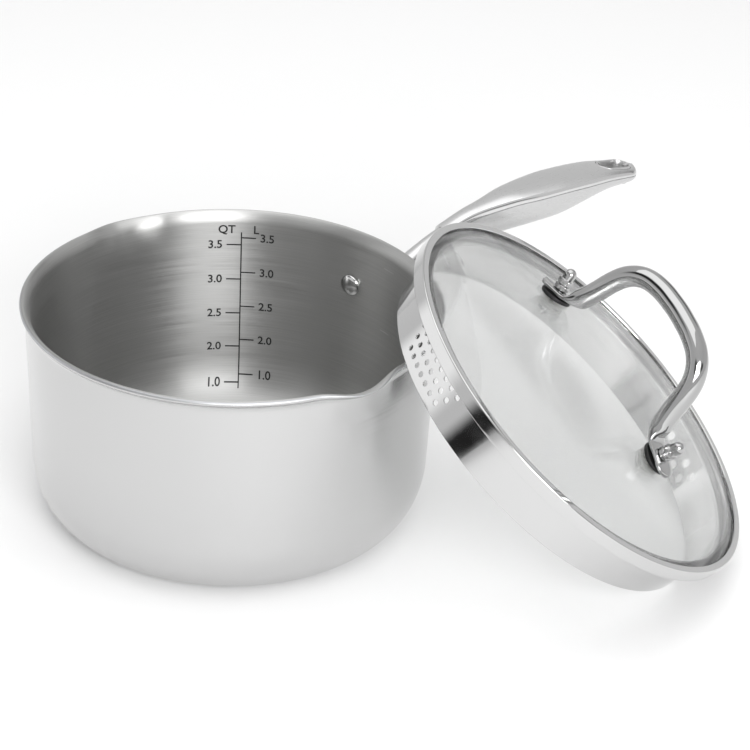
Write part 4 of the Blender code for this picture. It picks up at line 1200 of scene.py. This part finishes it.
def cardShade(tree, unit, height, card):
    # The share of the sky's light left by one card: the distance from its middle, along the
    # horizon over its width and up over its height, fades its depth out smoothly from its hard
    # middle to its edge. A negative depth is a white card, which adds light instead.
    azimuth, middle, width, tall, depth, hard = card
    side = addNode(tree, "ShaderNodeVectorMath", {0: unit, 1: (-sin(azimuth), cos(azimuth), 0)},
                   operation="DOT_PRODUCT")
    front = addNode(tree, "ShaderNodeVectorMath", {0: unit, 1: (cos(azimuth), sin(azimuth), 0)},
                    operation="DOT_PRODUCT")
    turn = addNode(tree, "ShaderNodeMath", {0: side.outputs["Value"], 1: front.outputs["Value"]},
                   operation="ARCTAN2")
    rise = addNode(tree, "ShaderNodeMath", {0: height, 1: middle}, operation="SUBTRACT")
    both = addNode(tree, "ShaderNodeCombineXYZ", {"X": turn.outputs[0], "Y": rise.outputs[0]})
    sized = addNode(tree, "ShaderNodeVectorMath", {0: both.outputs[0],
                                                   1: (1 / width, 1 / tall, 1)},
                    operation="MULTIPLY")
    far = addNode(tree, "ShaderNodeVectorMath", {0: sized.outputs[0]}, operation="LENGTH")
    return addNode(tree, "ShaderNodeMapRange", {
        "Value": far.outputs["Value"], "From Min": hard, "From Max": 1.0,
        "To Min": 1 - depth, "To Max": 1.0}, interpolation_type="SMOOTHSTEP").outputs[0]


def makeSky():
    # A white tent: its brightness by height above the horizon, times what each card leaves
    world = bpy.data.worlds.new("studioWorld")
    bpy.context.scene.world = world
    world.use_nodes = True
    tree = world.node_tree
    coordinates = addNode(tree, "ShaderNodeTexCoord")
    unit = addNode(tree, "ShaderNodeVectorMath", {0: coordinates.outputs["Generated"]},
                   operation="NORMALIZE").outputs[0]
    height = addNode(tree, "ShaderNodeSeparateXYZ", {"Vector": unit}).outputs[2]
    ramp = addNode(tree, "ShaderNodeValToRGB", {"Fac": height})
    steps = ramp.color_ramp.elements
    while len(steps) < len(studio["skyBands"]):
        steps.new(0.5)
    for step, (place, colour) in zip(steps, studio["skyBands"]):
        step.position = place
        step.color = (*toLinear(colour), 1)
    lit = ramp.outputs[0]
    for card in studio["cards"]:
        lit = addNode(tree, "ShaderNodeVectorMath", {
            0: lit, "Scale": cardShade(tree, unit, height, card)}, operation="SCALE").outputs[0]
    back = tree.nodes["Background"]
    tree.links.new(lit, back.inputs["Color"])
    back.inputs["Strength"].default_value = studio["skyStrength"]


def makeStudio():
    material, tree, shader = newMaterial("paperSweep", studio["floor"], 0, 0.7)
    vector = alongGrain(tree, upright, (studio["paperRun"],) * 3)
    grainOn(tree, shader, vector, studio["paperRough"])
    corners = np.array(((-1, -1, 0), (1, -1, 0), (1, 1, 0), (-1, 1, 0))) * studio["floorReach"]
    newPiece("floor", corners, np.arange(4), np.array((4,)), material)
    makeSky()
    areaLight("overhead", **studio["overhead"])
    areaLight("keyBox", **studio["keyBox"])
    bpy.context.scene.view_settings.view_transform = "Standard"

    camera = bpy.data.cameras.new("camera")
    camera.lens = studio["lens"]
    camera.sensor_width = studio["sensor"]
    eye = bpy.data.objects.new("camera", camera)
    eye.location = studio["eye"]
    eye.rotation_mode = "QUATERNION"
    facing = Vector(studio["look"]).to_track_quat("-Z", "Y")
    eye.rotation_quaternion = facing @ Quaternion((0, 0, 1), studio["roll"])
    bpy.context.scene.collection.objects.link(eye)
    bpy.context.scene.camera = eye
    print("studio made")


makeStudio()
